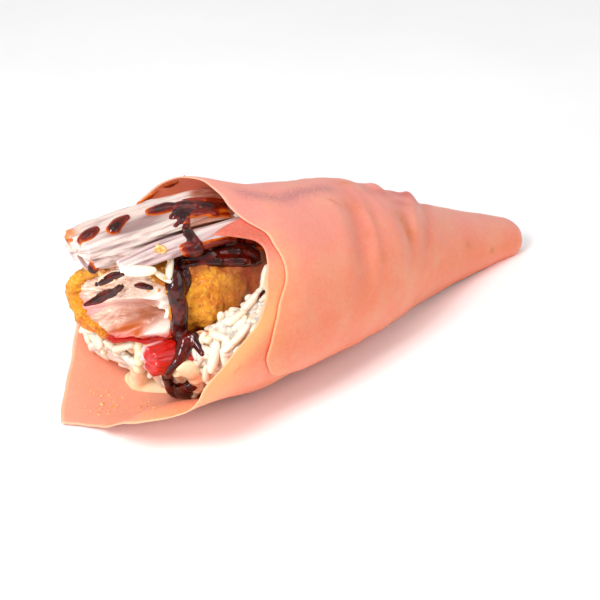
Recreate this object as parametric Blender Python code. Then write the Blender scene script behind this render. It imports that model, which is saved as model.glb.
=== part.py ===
"""Temaki hand roll: a cone of soy paper lying on its side, filled with rice, a breaded
crab stick, pulled crab sticks and mayonnaise.

Metres, +Z up. The cone lies along X with its tip towards +X and its mouth towards -X.
Lengths along the roll are measured from the vertex, the point where the straight sides
of the cone would meet, just beyond the rounded tip. Angles go round the roll: 0 is the
side at -Y, 90 the top, and angles past a full turn belong to the outer layer of paper.
"""

import math

import bmesh
import bpy
from mathutils import Vector, noise

MM = 0.001

# Where the vertex stands, so that the whole roll is centred on the origin.
VERTEX_X = 89.225 * MM
VERTEX_Y = 0.498 * MM

# Paper
PAPER = 0.7 * MM              # thickness of the soy paper
LAYER_STEP = 1.15 * MM        # middle of the inner layer to middle of the outer layer
REST_DIP = 0.4 * MM           # how far the underside is pressed flat
TIP_END = 17.6 * MM           # rounded end of the tip
TIP_PLUG = 33.0 * MM          # the pressed tip is solid up to here
SHEET_START = 26.0 * MM       # the layers of the sheet begin inside the tip
CORNER_TURN = -108.0          # the free corner that lies on the table

# Loft of the roll's outside: distance from the vertex, half width, height, sideways shift
SECTIONS = (
    (15.0, 3.4, 6.8, 2.4),
    (35.0, 7.0, 15.6, 3.2),
    (50.0, 10.2, 23.0, 3.1),
    (65.0, 14.5, 32.6, 2.4),
    (80.0, 19.2, 39.8, 1.1),
    (100.0, 22.7, 45.0, 0.6),
    (120.0, 25.6, 49.4, -0.1),
    (165.0, 30.6, 57.0, -1.0),
)

# Outline of the mouth: angle round the roll, distance from the vertex. It starts at the
# inner corner of the sheet, passes the corner on the table and ends at the outer corner.
RIM = (
    (66.0, 129.0), (62.0, 124.0), (56.0, 119.4), (50.0, 118.3), (43.0, 119.4),
    (34.0, 121.8), (24.0, 124.3), (13.0, 128.4),
    (0.0, 138.5), (-12.0, 145.5), (-30.0, 147.5), (-42.0, 151.4), (-54.0, 155.0),
    (-66.0, 156.0), (-78.0, 155.2), (-90.0, 155.0), (-100.0, 156.6),
    (CORNER_TURN, 160.5), (-145.0, 146.5), (-180.0, 137.0), (-225.0, 125.5), (-260.0, 119.0),
    (-285.0, 119.3), (-305.0, 115.3), (-320.0, 115.4), (-345.0, 122.0),
    (-368.0, 126.0), (-380.0, 124.0), (-389.0, 120.0),
)
INNER_EDGE_TWIST = 48.0       # how far the inner side edge turns from mouth to tip
OUTER_EDGE_TWIST = -26.0      # the same for the outer side edge, which tucks under

PEAK_FLARE = 3.6 * MM         # the far top of the mouth stands proud of the cone
PEAK_TURN = -243.0
FLAP_LIFT = 6.4 * MM          # the free corner lies slacker than the cone
FLAP_TURN = -62.0

# Rice
RICE_BACK = 54.0 * MM
RICE_FACE = 137.0 * MM        # where the near, lower part of the heap ends at the mouth
RICE_BUMP = 1.3 * MM
RICE_FOOT = 8.0 * MM          # how far the foot of the heap lies behind its face

GAP = 0.35 * MM               # between neighbours


def clear_scene():
    for obj in list(bpy.data.objects):
        bpy.data.objects.remove(obj, do_unlink=True)


def smooth_step(x):
    x = min(max(x, 0.0), 1.0)
    return x * x * (3.0 - 2.0 * x)


def bump(x):
    """A rounded hill: 1 at 0, falling to 0 at -1 and 1."""
    return smooth_step(1.0 - abs(x))


def along(table, x, column=1):
    """Smooth curve through one column of a table that is sorted by its first column."""
    rows = table if table[0][0] < table[-1][0] else table[::-1]
    count = len(rows)
    if x <= rows[0][0]:
        return rows[0][column]
    if x >= rows[-1][0]:
        return rows[-1][column]
    i = next(k for k in range(count - 1) if rows[k][0] <= x <= rows[k + 1][0])

    def slope(k):
        if k == 0 or k == count - 1 or rows[k][0] == CORNER_TURN:
            return None
        left = (rows[k][column] - rows[k - 1][column]) / (rows[k][0] - rows[k - 1][0])
        right = (rows[k + 1][column] - rows[k][column]) / (rows[k + 1][0] - rows[k][0])
        if left * right <= 0.0:
            return 0.0
        return 2.0 * left * right / (left + right)

    x0, x1 = rows[i][0], rows[i + 1][0]
    y0, y1 = rows[i][column], rows[i + 1][column]
    chord = (y1 - y0) / (x1 - x0)
    m0, m1 = slope(i), slope(i + 1)
    m0 = chord if m0 is None else m0
    m1 = chord if m1 is None else m1
    t = (x - x0) / (x1 - x0)
    h = x1 - x0
    return (
        y0 * (1 + 2 * t) * (1 - t) ** 2 + h * m0 * t * (1 - t) ** 2
        + y1 * t * t * (3 - 2 * t) + h * m1 * t * t * (t - 1)
    )


def section_point(distance, turn, offset, floor=0.0):
    """Point of the roll: offset is measured outwards from the inner layer's middle."""
    d = distance / MM
    half = along(SECTIONS, d, 1) * MM - LAYER_STEP - PAPER / 2
    tall = along(SECTIONS, d, 2) * MM - LAYER_STEP - PAPER
    shift = along(SECTIONS, d, 3) * MM
    a = math.radians(turn)
    rise = tall / 2
    normal = Vector((-math.cos(a) * rise, math.sin(a) * half)).normalized()
    y = -half * math.cos(a) + offset * normal[0]
    z = rise + rise * math.sin(a) + offset * normal[1]
    z += PAPER / 2 - REST_DIP
    return Vector((VERTEX_X - distance, VERTEX_Y + shift + y, max(z, floor)))


def layer_offset(turn):
    """The sheet climbs from the inner layer to the outer one on the far side."""
    return LAYER_STEP * smooth_step((-100.0 - turn) / 150.0)


def flap_slack(distance, turn):
    lift = FLAP_LIFT * bump((turn - FLAP_TURN) / 48.0)
    return lift * smooth_step((distance - 116.0 * MM) / (34.0 * MM))


def sheet_offset(distance, turn, rim):
    flare = PEAK_FLARE * bump((turn - PEAK_TURN) / 42.0)
    flare *= smooth_step((distance - rim + 16.0 * MM) / (16.0 * MM))
    return layer_offset(turn) + flare - flap_slack(distance, turn)


def new_object(name, mesh_data, material):
    mesh = bpy.data.meshes.new(name)
    mesh_data.to_mesh(mesh)
    mesh_data.free()
    mesh.materials.append(material)
    obj = bpy.data.objects.new(name, mesh)
    bpy.context.collection.objects.link(obj)
    return obj


def tidy(bm):
    bmesh.ops.remove_doubles(bm, verts=bm.verts, dist=0.000001)
    bmesh.ops.dissolve_degenerate(bm, edges=bm.edges, dist=0.000001)
    bmesh.ops.triangulate(bm, faces=bm.faces)
    bmesh.ops.recalc_face_normals(bm, faces=bm.faces)


def material(name, colour, roughness):
    mat = bpy.data.materials.new(name)
    mat.use_nodes = True
    shader = mat.node_tree.nodes["Principled BSDF"]
    shader.inputs["Base Color"].default_value = (*colour, 1.0)
    shader.inputs["Roughness"].default_value = roughness
    shader.inputs["Metallic"].default_value = 0.0
    mat.diffuse_color = (*colour, 1.0)
    return mat


def boolean(obj, other, operation):
    """Apply an exact Boolean to obj and delete the other object."""
    other.hide_render = True
    other.display_type = "WIRE"
    mod = obj.modifiers.new(operation.lower(), "BOOLEAN")
    mod.operation = operation
    mod.solver = "EXACT"
    mod.object = other
    depsgraph = bpy.context.evaluated_depsgraph_get()
    result = bpy.data.meshes.new_from_object(obj.evaluated_get(depsgraph))
    obj.modifiers.remove(mod)
    old = obj.data
    obj.data = result
    bpy.data.meshes.remove(old)
    bpy.data.objects.remove(other, do_unlink=True)
    bm = bmesh.new()
    bm.from_mesh(obj.data)
    tidy(bm)
    keep_largest(bm)
    bm.to_mesh(obj.data)
    bm.free()


def keep_largest(bm):
    """Drop the small crumbs that a cut leaves beside the main body."""
    seen, islands = set(), []
    for start in bm.verts:
        if start in seen:
            continue
        island, queue = [], [start]
        seen.add(start)
        while queue:
            vert = queue.pop()
            island.append(vert)
            for edge in vert.link_edges:
                other = edge.other_vert(vert)
                if other not in seen:
                    seen.add(other)
                    queue.append(other)
        islands.append(island)
    islands.sort(key=len, reverse=True)
    for island in islands[1:]:
        bmesh.ops.delete(bm, geom=island, context="VERTS")


# --- the paper ------------------------------------------------------------------------

def rim_turns():
    """Angles of the sheet's columns, closer together at its corners."""
    turns = [RIM[0][0]]
    step = -9.0
    while turns[-1] + step > RIM[-1][0] + 3.0:
        turns.append(turns[-1] + step)
    turns.append(RIM[-1][0])
    nearest = min(range(len(turns)), key=lambda k: abs(turns[k] - CORNER_TURN))
    turns[nearest] = CORNER_TURN
    return turns


def sheet_surface(side, rows):
    """Grid of points on the inner (-1) or outer (+1) face of the sheet."""
    turns = rim_turns()
    last = len(turns) - 1
    grid = []
    for k, rim_turn in enumerate(turns):
        rim = along(RIM, rim_turn) * MM
        t = k / last
        twist = INNER_EDGE_TWIST * (1 - t) ** 5 + OUTER_EDGE_TWIST * t ** 6
        column = []
        for r in range(rows + 1):
            v = r / rows
            distance = SHEET_START + v * (rim - SHEET_START)
            turn = rim_turn + twist * (1 - v) ** 0.8
            offset = sheet_offset(distance, turn, rim) + side * PAPER / 2
            floor = 0.0 if side > 0 else PAPER
            column.append(section_point(distance, turn, offset, floor))
        grid.append(column)
    return grid


def build_sheet(paper):
    rows = 16
    outer = sheet_surface(1, rows)
    inner = sheet_surface(-1, rows)
    bm = bmesh.new()
    verts = {}
    for name, grid in (("outer", outer), ("inner", inner)):
        for k, column in enumerate(grid):
            for r, point in enumerate(column):
                verts[name, k, r] = bm.verts.new(point)
    last = len(outer) - 1
    for k in range(last):
        for r in range(rows):
            for name in ("outer", "inner"):
                bm.faces.new((verts[name, k, r], verts[name, k + 1, r],
                              verts[name, k + 1, r + 1], verts[name, k, r + 1]))
    for k in range(last):
        for r in (0, rows):
            bm.faces.new((verts["outer", k, r], verts["outer", k + 1, r],
                          verts["inner", k + 1, r], verts["inner", k, r]))
    for r in range(rows):
        for k in (0, last):
            bm.faces.new((verts["outer", k, r], verts["outer", k, r + 1],
                          verts["inner", k, r + 1], verts["inner", k, r]))
    bmesh.ops.recalc_face_normals(bm, faces=bm.faces)
    bmesh.ops.triangulate(bm, faces=bm.faces)
    return new_object("wrapper", bm, paper)


def outermost_offset(turn):
    """Offset of whatever layer lies outside at this angle, from -180 to 180."""
    seam = RIM[-1][0] + 360.0 + OUTER_EDGE_TWIST
    return layer_offset(turn - 360.0 if turn > seam else turn)


def build_tip(paper):
    """The pressed end of the roll, solid paper with a rounded nose."""
    round_from = TIP_END + 5.0 * MM
    distances = [TIP_END + x * MM for x in (0.35, 1.0, 2.0, 3.4, 5.0, 8.0, 11.0)]
    distances.append(TIP_PLUG)
    around = 36
    seam = RIM[-1][0] + 360.0 + OUTER_EDGE_TWIST
    turns = [seam + 1.0 + k * (358.0 / (around - 1)) for k in range(around)]
    turns = [t if t <= 180.0 else t - 360.0 for t in turns]
    bm = bmesh.new()
    rings = []
    for distance in distances:
        nose = min(max((round_from - distance) / (round_from - TIP_END), 0.0), 1.0)
        scale = math.sqrt(1.0 - nose * nose)
        centre = section_point(distance, 0.0, 0.0)
        centre.y = VERTEX_Y + along(SECTIONS, distance / MM, 3) * MM
        centre.z = section_point(distance, 90.0, 0.0).z / 2
        ring = []
        for turn in turns:
            offset = outermost_offset(turn) + PAPER / 2 + 0.06 * MM
            point = section_point(distance, turn, offset)
            ring.append(bm.verts.new(centre + (point - centre) * scale))
        rings.append(ring)
    for a, b in zip(rings, rings[1:]):
        for k in range(around):
            m = (k + 1) % around
            bm.faces.new((a[k], a[m], b[m], b[k]))
    bm.faces.new(rings[0])
    bm.faces.new(rings[-1])
    bmesh.ops.triangulate(bm, faces=bm.faces)
    bmesh.ops.recalc_face_normals(bm, faces=bm.faces)
    return new_object("tip", bm, paper)


# --- the fillings ---------------------------------------------------------------------

def bar(name, route, mat, around=20, rows=12, power=2.6, rough=0.0, grow=0.0, seed=0,
        blunt=0.55, cut=0.0):
    """A rounded bar lofted along a route.

    Each stop of the route gives distance from the vertex, y, z, half width, half height
    and roll in degrees, all in millimetres. Its ends are rounded over by blunt. A bar with
    a cut has a flat first end instead, which falls back by that much on the side at -Y.
    """
    first, last = route[0][0], route[-1][0]
    bm = bmesh.new()
    rings = []
    for r in range(rows + 1):
        v = r / rows
        # more rings where the ends round over
        v = 0.5 - 0.5 * math.cos(math.pi * v)
        d = first + (last - first) * v
        y, z, half, rise, roll = (along(route, d, c) for c in range(1, 6))
        end = min(v, 1.0 - v) * abs(last - first) / (blunt * min(half, rise))
        least = 0.92 if cut and v < 0.5 else 0.35
        scale = 1.0
        if end < 1.0:
            scale = least + (1.0 - least) * math.sqrt(1.0 - (1.0 - end) ** 2)
        if r == 0:
            d += grow / MM
        if r == rows:
            d -= grow / MM
        fall = cut * smooth_step((d - 118.0) / 34.0)
        ring = []
        for k in range(around):
            a = 2.0 * math.pi * k / around
            c, s = math.cos(a), math.sin(a)
            py = math.copysign(abs(c) ** (2.0 / power), c) * half * scale
            pz = math.copysign(abs(s) ** (2.0 / power), s) * rise * scale
            cr, sr = math.cos(math.radians(roll)), math.sin(math.radians(roll))
            qy, qz = py * cr - pz * sr, py * sr + pz * cr
            wobble = noise.noise(Vector((d * 0.22, qy * 0.3, qz * 0.3 + seed))) * rough
            out = Vector((qy, qz)).normalized() * (wobble + grow / MM)
            back = fall * (0.5 - 0.5 * qy / half)
            ring.append(bm.verts.new(Vector((
                VERTEX_X - (d - back) * MM, VERTEX_Y + (y + qy + out[0]) * MM,
                (z + qz + out[1]) * MM))))
        rings.append(ring)
    for a, b in zip(rings, rings[1:]):
        for k in range(around):
            m = (k + 1) % around
            bm.faces.new((a[k], a[m], b[m], b[k]))
    for ring in (rings[0], rings[-1]):
        centre = sum((v.co for v in ring), Vector()) / around
        hub = bm.verts.new(centre)
        for k in range(around):
            bm.faces.new((ring[k], ring[(k + 1) % around], hub))
    bmesh.ops.triangulate(bm, faces=bm.faces)
    bmesh.ops.recalc_face_normals(bm, faces=bm.faces)
    return new_object(name, bm, mat)


# Routes of the sticks: distance, y, z, half width, half height, roll
BREADED = (
    (152.0, 3.6, 29.4, 13.4, 10.2, -12.0),
    (135.0, 1.0, 30.2, 14.0, 10.5, -10.0),
    (119.0, -0.3, 29.8, 13.8, 10.8, -8.0),
    (100.0, 0.0, 25.2, 11.5, 9.8, -4.0),
    (84.0, 0.5, 20.5, 9.5, 8.6, 0.0),
)
TOP_STICK = (
    (154.0, 6.6, 44.2, 5.8, 3.0, 6.0),
    (142.0, 5.6, 44.3, 7.0, 3.6, 8.0),
    (124.0, 4.8, 44.3, 7.2, 3.3, 6.0),
    (102.0, 4.0, 38.7, 6.4, 2.7, 2.0),
    (90.0, 3.6, 34.4, 5.6, 2.4, 0.0),
)
STRIP = (
    (150.0, -4.0, 43.2, 2.4, 1.3, 10.0),
    (138.0, -5.0, 44.2, 3.0, 1.35, 8.0),
    (118.0, -6.0, 43.8, 3.0, 1.3, 4.0),
    (104.0, -6.2, 38.2, 2.8, 1.2, 0.0),
)
RED_STICK = (
    (147.5, -7.0, 17.4, 4.4, 3.9, 20.0),
    (134.0, -9.4, 17.8, 4.8, 4.0, 20.0),
    (112.0, -8.5, 14.6, 4.4, 3.6, 15.0),
    (92.0, -6.0, 11.0, 3.6, 3.0, 0.0),
)
MAYO = (
    (149.0, -1.5, 8.2, 7.2, 3.8, 8.0),
    (143.5, -4.0, 9.2, 9.6, 4.9, 12.0),
    (136.0, -6.0, 8.6, 8.4, 4.2, 14.0),
)


def rice_face(y, z):
    """Distance from the vertex at which the heap ends, for a place in the mouth."""
    y, z = (y - VERTEX_Y) / MM, z / MM
    high = 0.5 * (z - 27.0 + math.sqrt((z - 27.0) ** 2 + 12.0))
    lumps = noise.noise(Vector((y * 0.19, z * 0.19, 4.0)))
    lumps += 0.6 * noise.noise(Vector((y * 0.45, z * 0.45, 9.0)))
    low = RICE_FOOT * smooth_step((17.0 - z) / 15.0)
    return RICE_FACE + (0.33 * (y + 15.0) - 1.35 * high) * MM - low + RICE_BUMP * lumps


def inside_point(distance, turn):
    """A place just clear of the paper, inside the roll; turn is from -90 to 270."""
    lift = flap_slack(distance, turn if turn <= RIM[0][0] else turn - 360.0)
    return section_point(distance, turn, -(PAPER / 2 + GAP) - lift, PAPER + GAP)


def build_inside(mat):
    """The space that the paper leaves, carried on past the mouth."""
    around, distances = 48, [60.0 + 8.0 * k for k in range(14)]
    turns = [k * 360.0 / around - 90.0 for k in range(around)]
    bm = bmesh.new()
    rings = [[bm.verts.new(inside_point(d * MM, turn)) for turn in turns]
             for d in distances]
    for a, b in zip(rings, rings[1:]):
        for k in range(around):
            m = (k + 1) % around
            bm.faces.new((a[k], a[m], b[m], b[k]))
    bm.faces.new(rings[0])
    bm.faces.new(rings[-1])
    bmesh.ops.triangulate(bm, faces=bm.faces)
    bmesh.ops.recalc_face_normals(bm, faces=bm.faces)
    return new_object("inside", bm, mat)


def build_rice(mat):
    """The heap fills the paper from well inside the cone to its uneven face."""
    around, rows, rings_in_face = 36, 9, 5
    wall = inside_point
    bm = bmesh.new()
    turns = [k * 360.0 / around - 90.0 for k in range(around)]
    edge = []
    for turn in turns:
        rim = along(RIM, turn if turn <= RIM[0][0] else turn - 360.0) * MM
        distance = RICE_FACE
        for _ in range(12):
            point = wall(distance, turn)
            distance = 0.5 * (distance + rice_face(point.y, point.z))
        edge.append(min(distance, rim - 2.0 * MM))
    rings = []
    for r in range(rows + 1):
        v = r / rows
        ring = []
        for turn, end in zip(turns, edge):
            distance = RICE_BACK + v * (end - RICE_BACK)
            point = wall(distance, turn)
            if r == 0:
                centre = wall(distance, 90.0)
                middle = Vector((point.x, VERTEX_Y + 2.0 * MM, centre.z / 2))
                point = middle + (point - middle) * 0.72
            ring.append(bm.verts.new(point))
        rings.append(ring)
    hub = sum((v.co for v in rings[-1]), Vector()) / around
    hub.z = 20.0 * MM
    for r in range(1, rings_in_face):
        scale = 1.0 - r / rings_in_face
        settle = smooth_step((1.0 - scale) / 0.45)
        ring = []
        for vert in rings[rows]:
            point = hub + (vert.co - hub) * scale
            heap = VERTEX_X - rice_face(point.y, point.z)
            point.x = vert.co.x + (heap - vert.co.x) * settle
            ring.append(bm.verts.new(point))
        rings.append(ring)
    for a, b in zip(rings, rings[1:]):
        for k in range(around):
            m = (k + 1) % around
            bm.faces.new((a[k], a[m], b[m], b[k]))
    hub.x = VERTEX_X - rice_face(hub.y, hub.z)
    tip = bm.verts.new(hub)
    for k in range(around):
        bm.faces.new((rings[-1][k], rings[-1][(k + 1) % around], tip))
    bm.faces.new(rings[0])
    bmesh.ops.triangulate(bm, faces=bm.faces)
    bmesh.ops.recalc_face_normals(bm, faces=bm.faces)
    return new_object("rice", bm, mat)


def main():
    clear_scene()
    paper = material("soy_paper", (0.90, 0.42, 0.30), 0.55)
    rice_mat = material("cooked_rice", (0.87, 0.78, 0.66), 0.45)
    crumb = material("fried_crumb", (0.72, 0.33, 0.06), 0.75)
    crab = material("crab_stick", (0.86, 0.74, 0.68), 0.45)
    strip_mat = material("crab_strip", (0.84, 0.70, 0.66), 0.45)
    red_crab = material("red_crab_stick", (0.70, 0.08, 0.04), 0.4)
    mayo_mat = material("mayonnaise", (0.93, 0.62, 0.30), 0.25)

    wrapper = build_sheet(paper)
    boolean(wrapper, build_tip(paper), "UNION")

    breaded = dict(route=BREADED, around=26, rows=14, power=2.7, rough=0.9, seed=1, blunt=0.3,
                   cut=12.5)
    top = dict(route=TOP_STICK, around=18, rows=12, power=3.0, rough=0.5, seed=2, blunt=0.4)
    strip = dict(route=STRIP, around=12, rows=9, power=2.4, rough=0.3, seed=3)
    red = dict(route=RED_STICK, around=16, rows=9, power=2.4, rough=0.4, seed=4)
    mayo = dict(route=MAYO, around=22, rows=8, power=2.0, rough=0.9, seed=5, blunt=1.3)

    bar("breaded_stick", mat=crumb, **breaded)
    top_stick = bar("crab_stick", mat=crab, **top)
    boolean(top_stick, bar("room", mat=crab, grow=GAP, **breaded), "DIFFERENCE")
    thin = bar("crab_strip", mat=strip_mat, **strip)
    boolean(thin, bar("room", mat=crab, grow=GAP, **breaded), "DIFFERENCE")
    boolean(thin, bar("room", mat=crab, grow=GAP, **top), "DIFFERENCE")
    lower = bar("red_crab_stick", mat=red_crab, **red)
    boolean(lower, bar("room", mat=crab, grow=GAP, **breaded), "DIFFERENCE")
    blob = bar("mayonnaise", mat=mayo_mat, **mayo)
    boolean(blob, bar("room", mat=crab, grow=GAP, **red), "DIFFERENCE")
    boolean(blob, build_inside(mayo_mat), "INTERSECT")

    rice = build_rice(rice_mat)
    for shape in (breaded, top, strip, red, mayo):
        boolean(rice, bar("room", mat=rice_mat, grow=GAP, **shape), "DIFFERENCE")


main()
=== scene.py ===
"""Looks of the temaki hand roll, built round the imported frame.

Lengths are millimetres until a mesh is made. Lengths along the roll run from the vertex of
the paper cone, just beyond its tip; turns go round it, 0 at the side towards -Y and 90 at
the top, and run on past a full turn where one layer of paper lies over another.
"""

import math
import random

import bmesh
import bpy
import numpy as np
from mathutils import Matrix, Vector, noise
from mathutils.bvhtree import BVHTree
from mathutils.kdtree import KDTree


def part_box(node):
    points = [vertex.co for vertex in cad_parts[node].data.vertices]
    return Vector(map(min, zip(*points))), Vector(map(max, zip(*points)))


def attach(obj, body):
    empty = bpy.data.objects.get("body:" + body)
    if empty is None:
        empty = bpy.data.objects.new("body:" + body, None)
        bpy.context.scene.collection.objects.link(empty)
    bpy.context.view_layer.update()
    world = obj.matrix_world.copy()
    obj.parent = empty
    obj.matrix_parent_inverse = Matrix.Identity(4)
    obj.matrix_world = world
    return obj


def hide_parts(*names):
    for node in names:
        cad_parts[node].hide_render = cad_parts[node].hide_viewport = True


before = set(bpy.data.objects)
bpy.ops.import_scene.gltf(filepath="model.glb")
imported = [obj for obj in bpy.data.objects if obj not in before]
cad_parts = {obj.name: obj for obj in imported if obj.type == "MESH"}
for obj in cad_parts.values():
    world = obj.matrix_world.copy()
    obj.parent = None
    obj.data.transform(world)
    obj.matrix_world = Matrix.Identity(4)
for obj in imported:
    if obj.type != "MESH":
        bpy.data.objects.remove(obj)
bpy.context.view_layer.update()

MM = 0.001
TIP_SETBACK = 17.95            # from the end of the tip to the vertex of the cone
VERTEX_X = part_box("wrapper")[1][0] / MM + TIP_SETBACK
VERTEX_Y = 0.498

# Loft of the roll: distance from the vertex, half width, height, sideways shift
SECTIONS = (
    (15.0, 3.4, 6.8, 2.4), (35.0, 7.0, 15.6, 3.2), (50.0, 10.2, 23.0, 3.1),
    (65.0, 14.5, 32.6, 2.4), (80.0, 19.2, 39.8, 1.1), (100.0, 22.7, 45.0, 0.6),
    (120.0, 25.6, 49.4, -0.1), (165.0, 30.6, 57.0, -1.0),
)
CORNER_TURN = -108.0
RIM = (
    (-389.0, 120.0), (-380.0, 124.0), (-368.0, 126.0), (-345.0, 122.0), (-320.0, 115.4),
    (-305.0, 115.3), (-285.0, 119.3), (-260.0, 119.0), (-225.0, 125.5), (-180.0, 137.0),
    (-145.0, 146.5), (CORNER_TURN, 160.5), (-100.0, 156.6), (-90.0, 155.0),
    (-78.0, 155.2), (-66.0, 156.0), (-54.0, 155.0), (-42.0, 151.4), (-30.0, 147.5),
    (-12.0, 145.5), (0.0, 138.5), (13.0, 128.4), (24.0, 124.3), (34.0, 121.8),
    (43.0, 119.4), (50.0, 118.3), (56.0, 119.4), (62.0, 124.0), (66.0, 129.0),
)
LAYER_STEP = 1.15
CAD_PAPER = 0.7
PAPER = 0.32                   # thickness of the sheet that shows
TIP_END = 17.6
NOSE = 5.0
INNER_TWIST, OUTER_TWIST = 48.0, -26.0
PEAK_TURN, PEAK_FLARE = -243.0, 3.6
FLAP_TURN, FLAP_LIFT = -62.0, 6.4


# --- small helpers --------------------------------------------------------------------

def smooth(x):
    x = np.clip(x, 0.0, 1.0)
    return x * x * (3.0 - 2.0 * x)


def hill(x):
    """1 at 0, falling smoothly to 0 at -1 and 1."""
    return smooth(1.0 - np.abs(x))


def srgb(red, green, blue):
    """A colour given as it looks on a screen, 0 to 255, as linear light."""
    out = []
    for value in (red, green, blue):
        c = value / 255.0
        out.append(c / 12.92 if c <= 0.04045 else ((c + 0.055) / 1.055) ** 2.4)
    return tuple(out)


def along(table, x, column=1, corner=None):
    """Smooth curve through one column of a sorted table, for an array of places."""
    xs = np.array([row[0] for row in table])
    ys = np.array([row[column] for row in table])
    step = np.diff(xs)
    chord = np.diff(ys) / step
    left, right = np.append(chord[0], chord), np.append(chord, chord[-1])
    same = left * right > 0.0
    mean = np.where(same, 2.0 * left * right / np.where(same, left + right, 1.0), 0.0)
    mean[0], mean[-1] = chord[0], chord[-1]
    start, end = mean[:-1].copy(), mean[1:].copy()
    if corner is not None:
        k = int(np.argmin(np.abs(xs - corner)))
        start[k], end[k - 1] = chord[k], chord[k - 1]
    x = np.clip(np.asarray(x, float), xs[0], xs[-1])
    i = np.clip(np.searchsorted(xs, x) - 1, 0, len(xs) - 2)
    h = step[i]
    t = (x - xs[i]) / h
    return (ys[i] * (1 + 2 * t) * (1 - t) ** 2 + h * start[i] * t * (1 - t) ** 2
            + ys[i + 1] * t * t * (3 - 2 * t) + h * end[i] * t * t * (t - 1))


def mesh_piece(name, points, faces, material, smooth_shade=True):
    """A piece from points in millimetres, with its faces turned outwards."""
    mesh = bpy.data.meshes.new(name)
    mesh.from_pydata([tuple(p) for p in np.asarray(points) * MM], [], faces)
    mesh.materials.append(material)
    obj = bpy.data.objects.new(name, mesh)
    bpy.context.collection.objects.link(obj)
    recalculate(obj)
    for polygon in mesh.polygons:
        polygon.use_smooth = smooth_shade
    return obj


def recalculate(obj):
    bm = bmesh.new()
    bm.from_mesh(obj.data)
    bmesh.ops.recalc_face_normals(bm, faces=bm.faces)
    bm.to_mesh(obj.data)
    bm.free()


def bake_modifiers(obj):
    """Swap the object's mesh for what its modifiers make of it."""
    depsgraph = bpy.context.evaluated_depsgraph_get()
    result = bpy.data.meshes.new_from_object(obj.evaluated_get(depsgraph))
    obj.modifiers.clear()
    old, obj.data = obj.data, result
    bpy.data.meshes.remove(old)
    return obj


def set_attribute(obj, name, values):
    data = obj.data.attributes.new(name, "FLOAT", "POINT")
    data.data.foreach_set("value", np.asarray(values, np.float32))


def points_of(obj):
    co = np.empty(len(obj.data.vertices) * 3, np.float32)
    obj.data.vertices.foreach_get("co", co)
    return co.reshape(-1, 3) / MM


def bvh_of(objects):
    """One search tree, in millimetres, over several pieces."""
    verts, faces = [], []
    for obj in objects:
        base = len(verts)
        verts.extend(Vector(p) for p in points_of(obj).tolist())
        faces.extend([base + i for i in polygon.vertices] for polygon in obj.data.polygons)
    return BVHTree.FromPolygons(verts, faces)


def wobble(points, scale, seed=0.0):
    """Noise from -1 to 1 at each point, for features about scale millimetres across."""
    shift = Vector((seed * 7.3, seed * 3.1, seed * 5.7))
    return np.array([noise.noise(Vector(p) / scale + shift) for p in points])


# --- shader building ------------------------------------------------------------------

def effect_group(name, takes, gives):
    """An empty shader effect with named inputs and outputs."""
    tree = bpy.data.node_groups.new(name, "ShaderNodeTree")
    for label, kind, value in takes:
        made = tree.interface.new_socket(label, in_out="INPUT", socket_type=kind)
        made.default_value = value
    for label, kind in gives:
        tree.interface.new_socket(label, in_out="OUTPUT", socket_type=kind)
    return tree, tree.nodes.new("NodeGroupInput"), tree.nodes.new("NodeGroupOutput")


def uneven_tone_group():
    """Shared effect: cloudy tone with features about Size across, drawn out by Stretch."""
    number, vector = "NodeSocketFloat", "NodeSocketVector"
    tree, start, end = effect_group(
        "uneven_tone",
        (("Place", vector, (0.0, 0.0, 0.0)), ("Stretch", vector, (1.0, 1.0, 1.0)),
         ("Size", number, 0.001), ("Detail", number, 4.0), ("Roughness", number, 0.55)),
        (("Tone", number),))
    drawn = tree.nodes.new("ShaderNodeVectorMath")
    drawn.operation = "MULTIPLY"
    density = tree.nodes.new("ShaderNodeMath")
    density.operation = "DIVIDE"
    density.inputs[0].default_value = 1.0
    cloud = tree.nodes.new("ShaderNodeTexNoise")
    link = tree.links.new
    link(start.outputs["Place"], drawn.inputs[0])
    link(start.outputs["Stretch"], drawn.inputs[1])
    link(start.outputs["Size"], density.inputs[1])
    link(drawn.outputs[0], cloud.inputs["Vector"])
    link(density.outputs[0], cloud.inputs["Scale"])
    link(start.outputs["Detail"], cloud.inputs["Detail"])
    link(start.outputs["Roughness"], cloud.inputs["Roughness"])
    link(cloud.outputs["Fac"], end.inputs["Tone"])
    return tree


def wet_edge_group():
    """Shared effect: how much a thin liquid shows what is under it, patchy by Tone."""
    number = "NodeSocketFloat"
    tree, start, end = effect_group(
        "wet_edge",
        (("Thinness", number, 0.0), ("Tone", number, 0.5), ("Patchiness", number, 0.3),
         ("Low", number, 0.3), ("High", number, 0.7)),
        (("Clearness", number),))
    shift = tree.nodes.new("ShaderNodeMath")
    shift.operation = "SUBTRACT"
    shift.inputs[1].default_value = 0.5
    patch = tree.nodes.new("ShaderNodeMath")
    patch.operation = "MULTIPLY"
    total = tree.nodes.new("ShaderNodeMath")
    reach = tree.nodes.new("ShaderNodeMapRange")
    reach.interpolation_type = "SMOOTHSTEP"
    link = tree.links.new
    link(start.outputs["Tone"], shift.inputs[0])
    link(shift.outputs[0], patch.inputs[0])
    link(start.outputs["Patchiness"], patch.inputs[1])
    link(start.outputs["Thinness"], total.inputs[0])
    link(patch.outputs[0], total.inputs[1])
    link(total.outputs[0], reach.inputs["Value"])
    link(start.outputs["Low"], reach.inputs["From Min"])
    link(start.outputs["High"], reach.inputs["From Max"])
    link(reach.outputs["Result"], end.inputs["Clearness"])
    return tree


EFFECTS = {}


def effect(name):
    """The shared effect of this name, made the first time it is asked for."""
    if name not in EFFECTS:
        EFFECTS[name] = {"uneven_tone": uneven_tone_group, "wet_edge": wet_edge_group}[name]()
    return EFFECTS[name]


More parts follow.
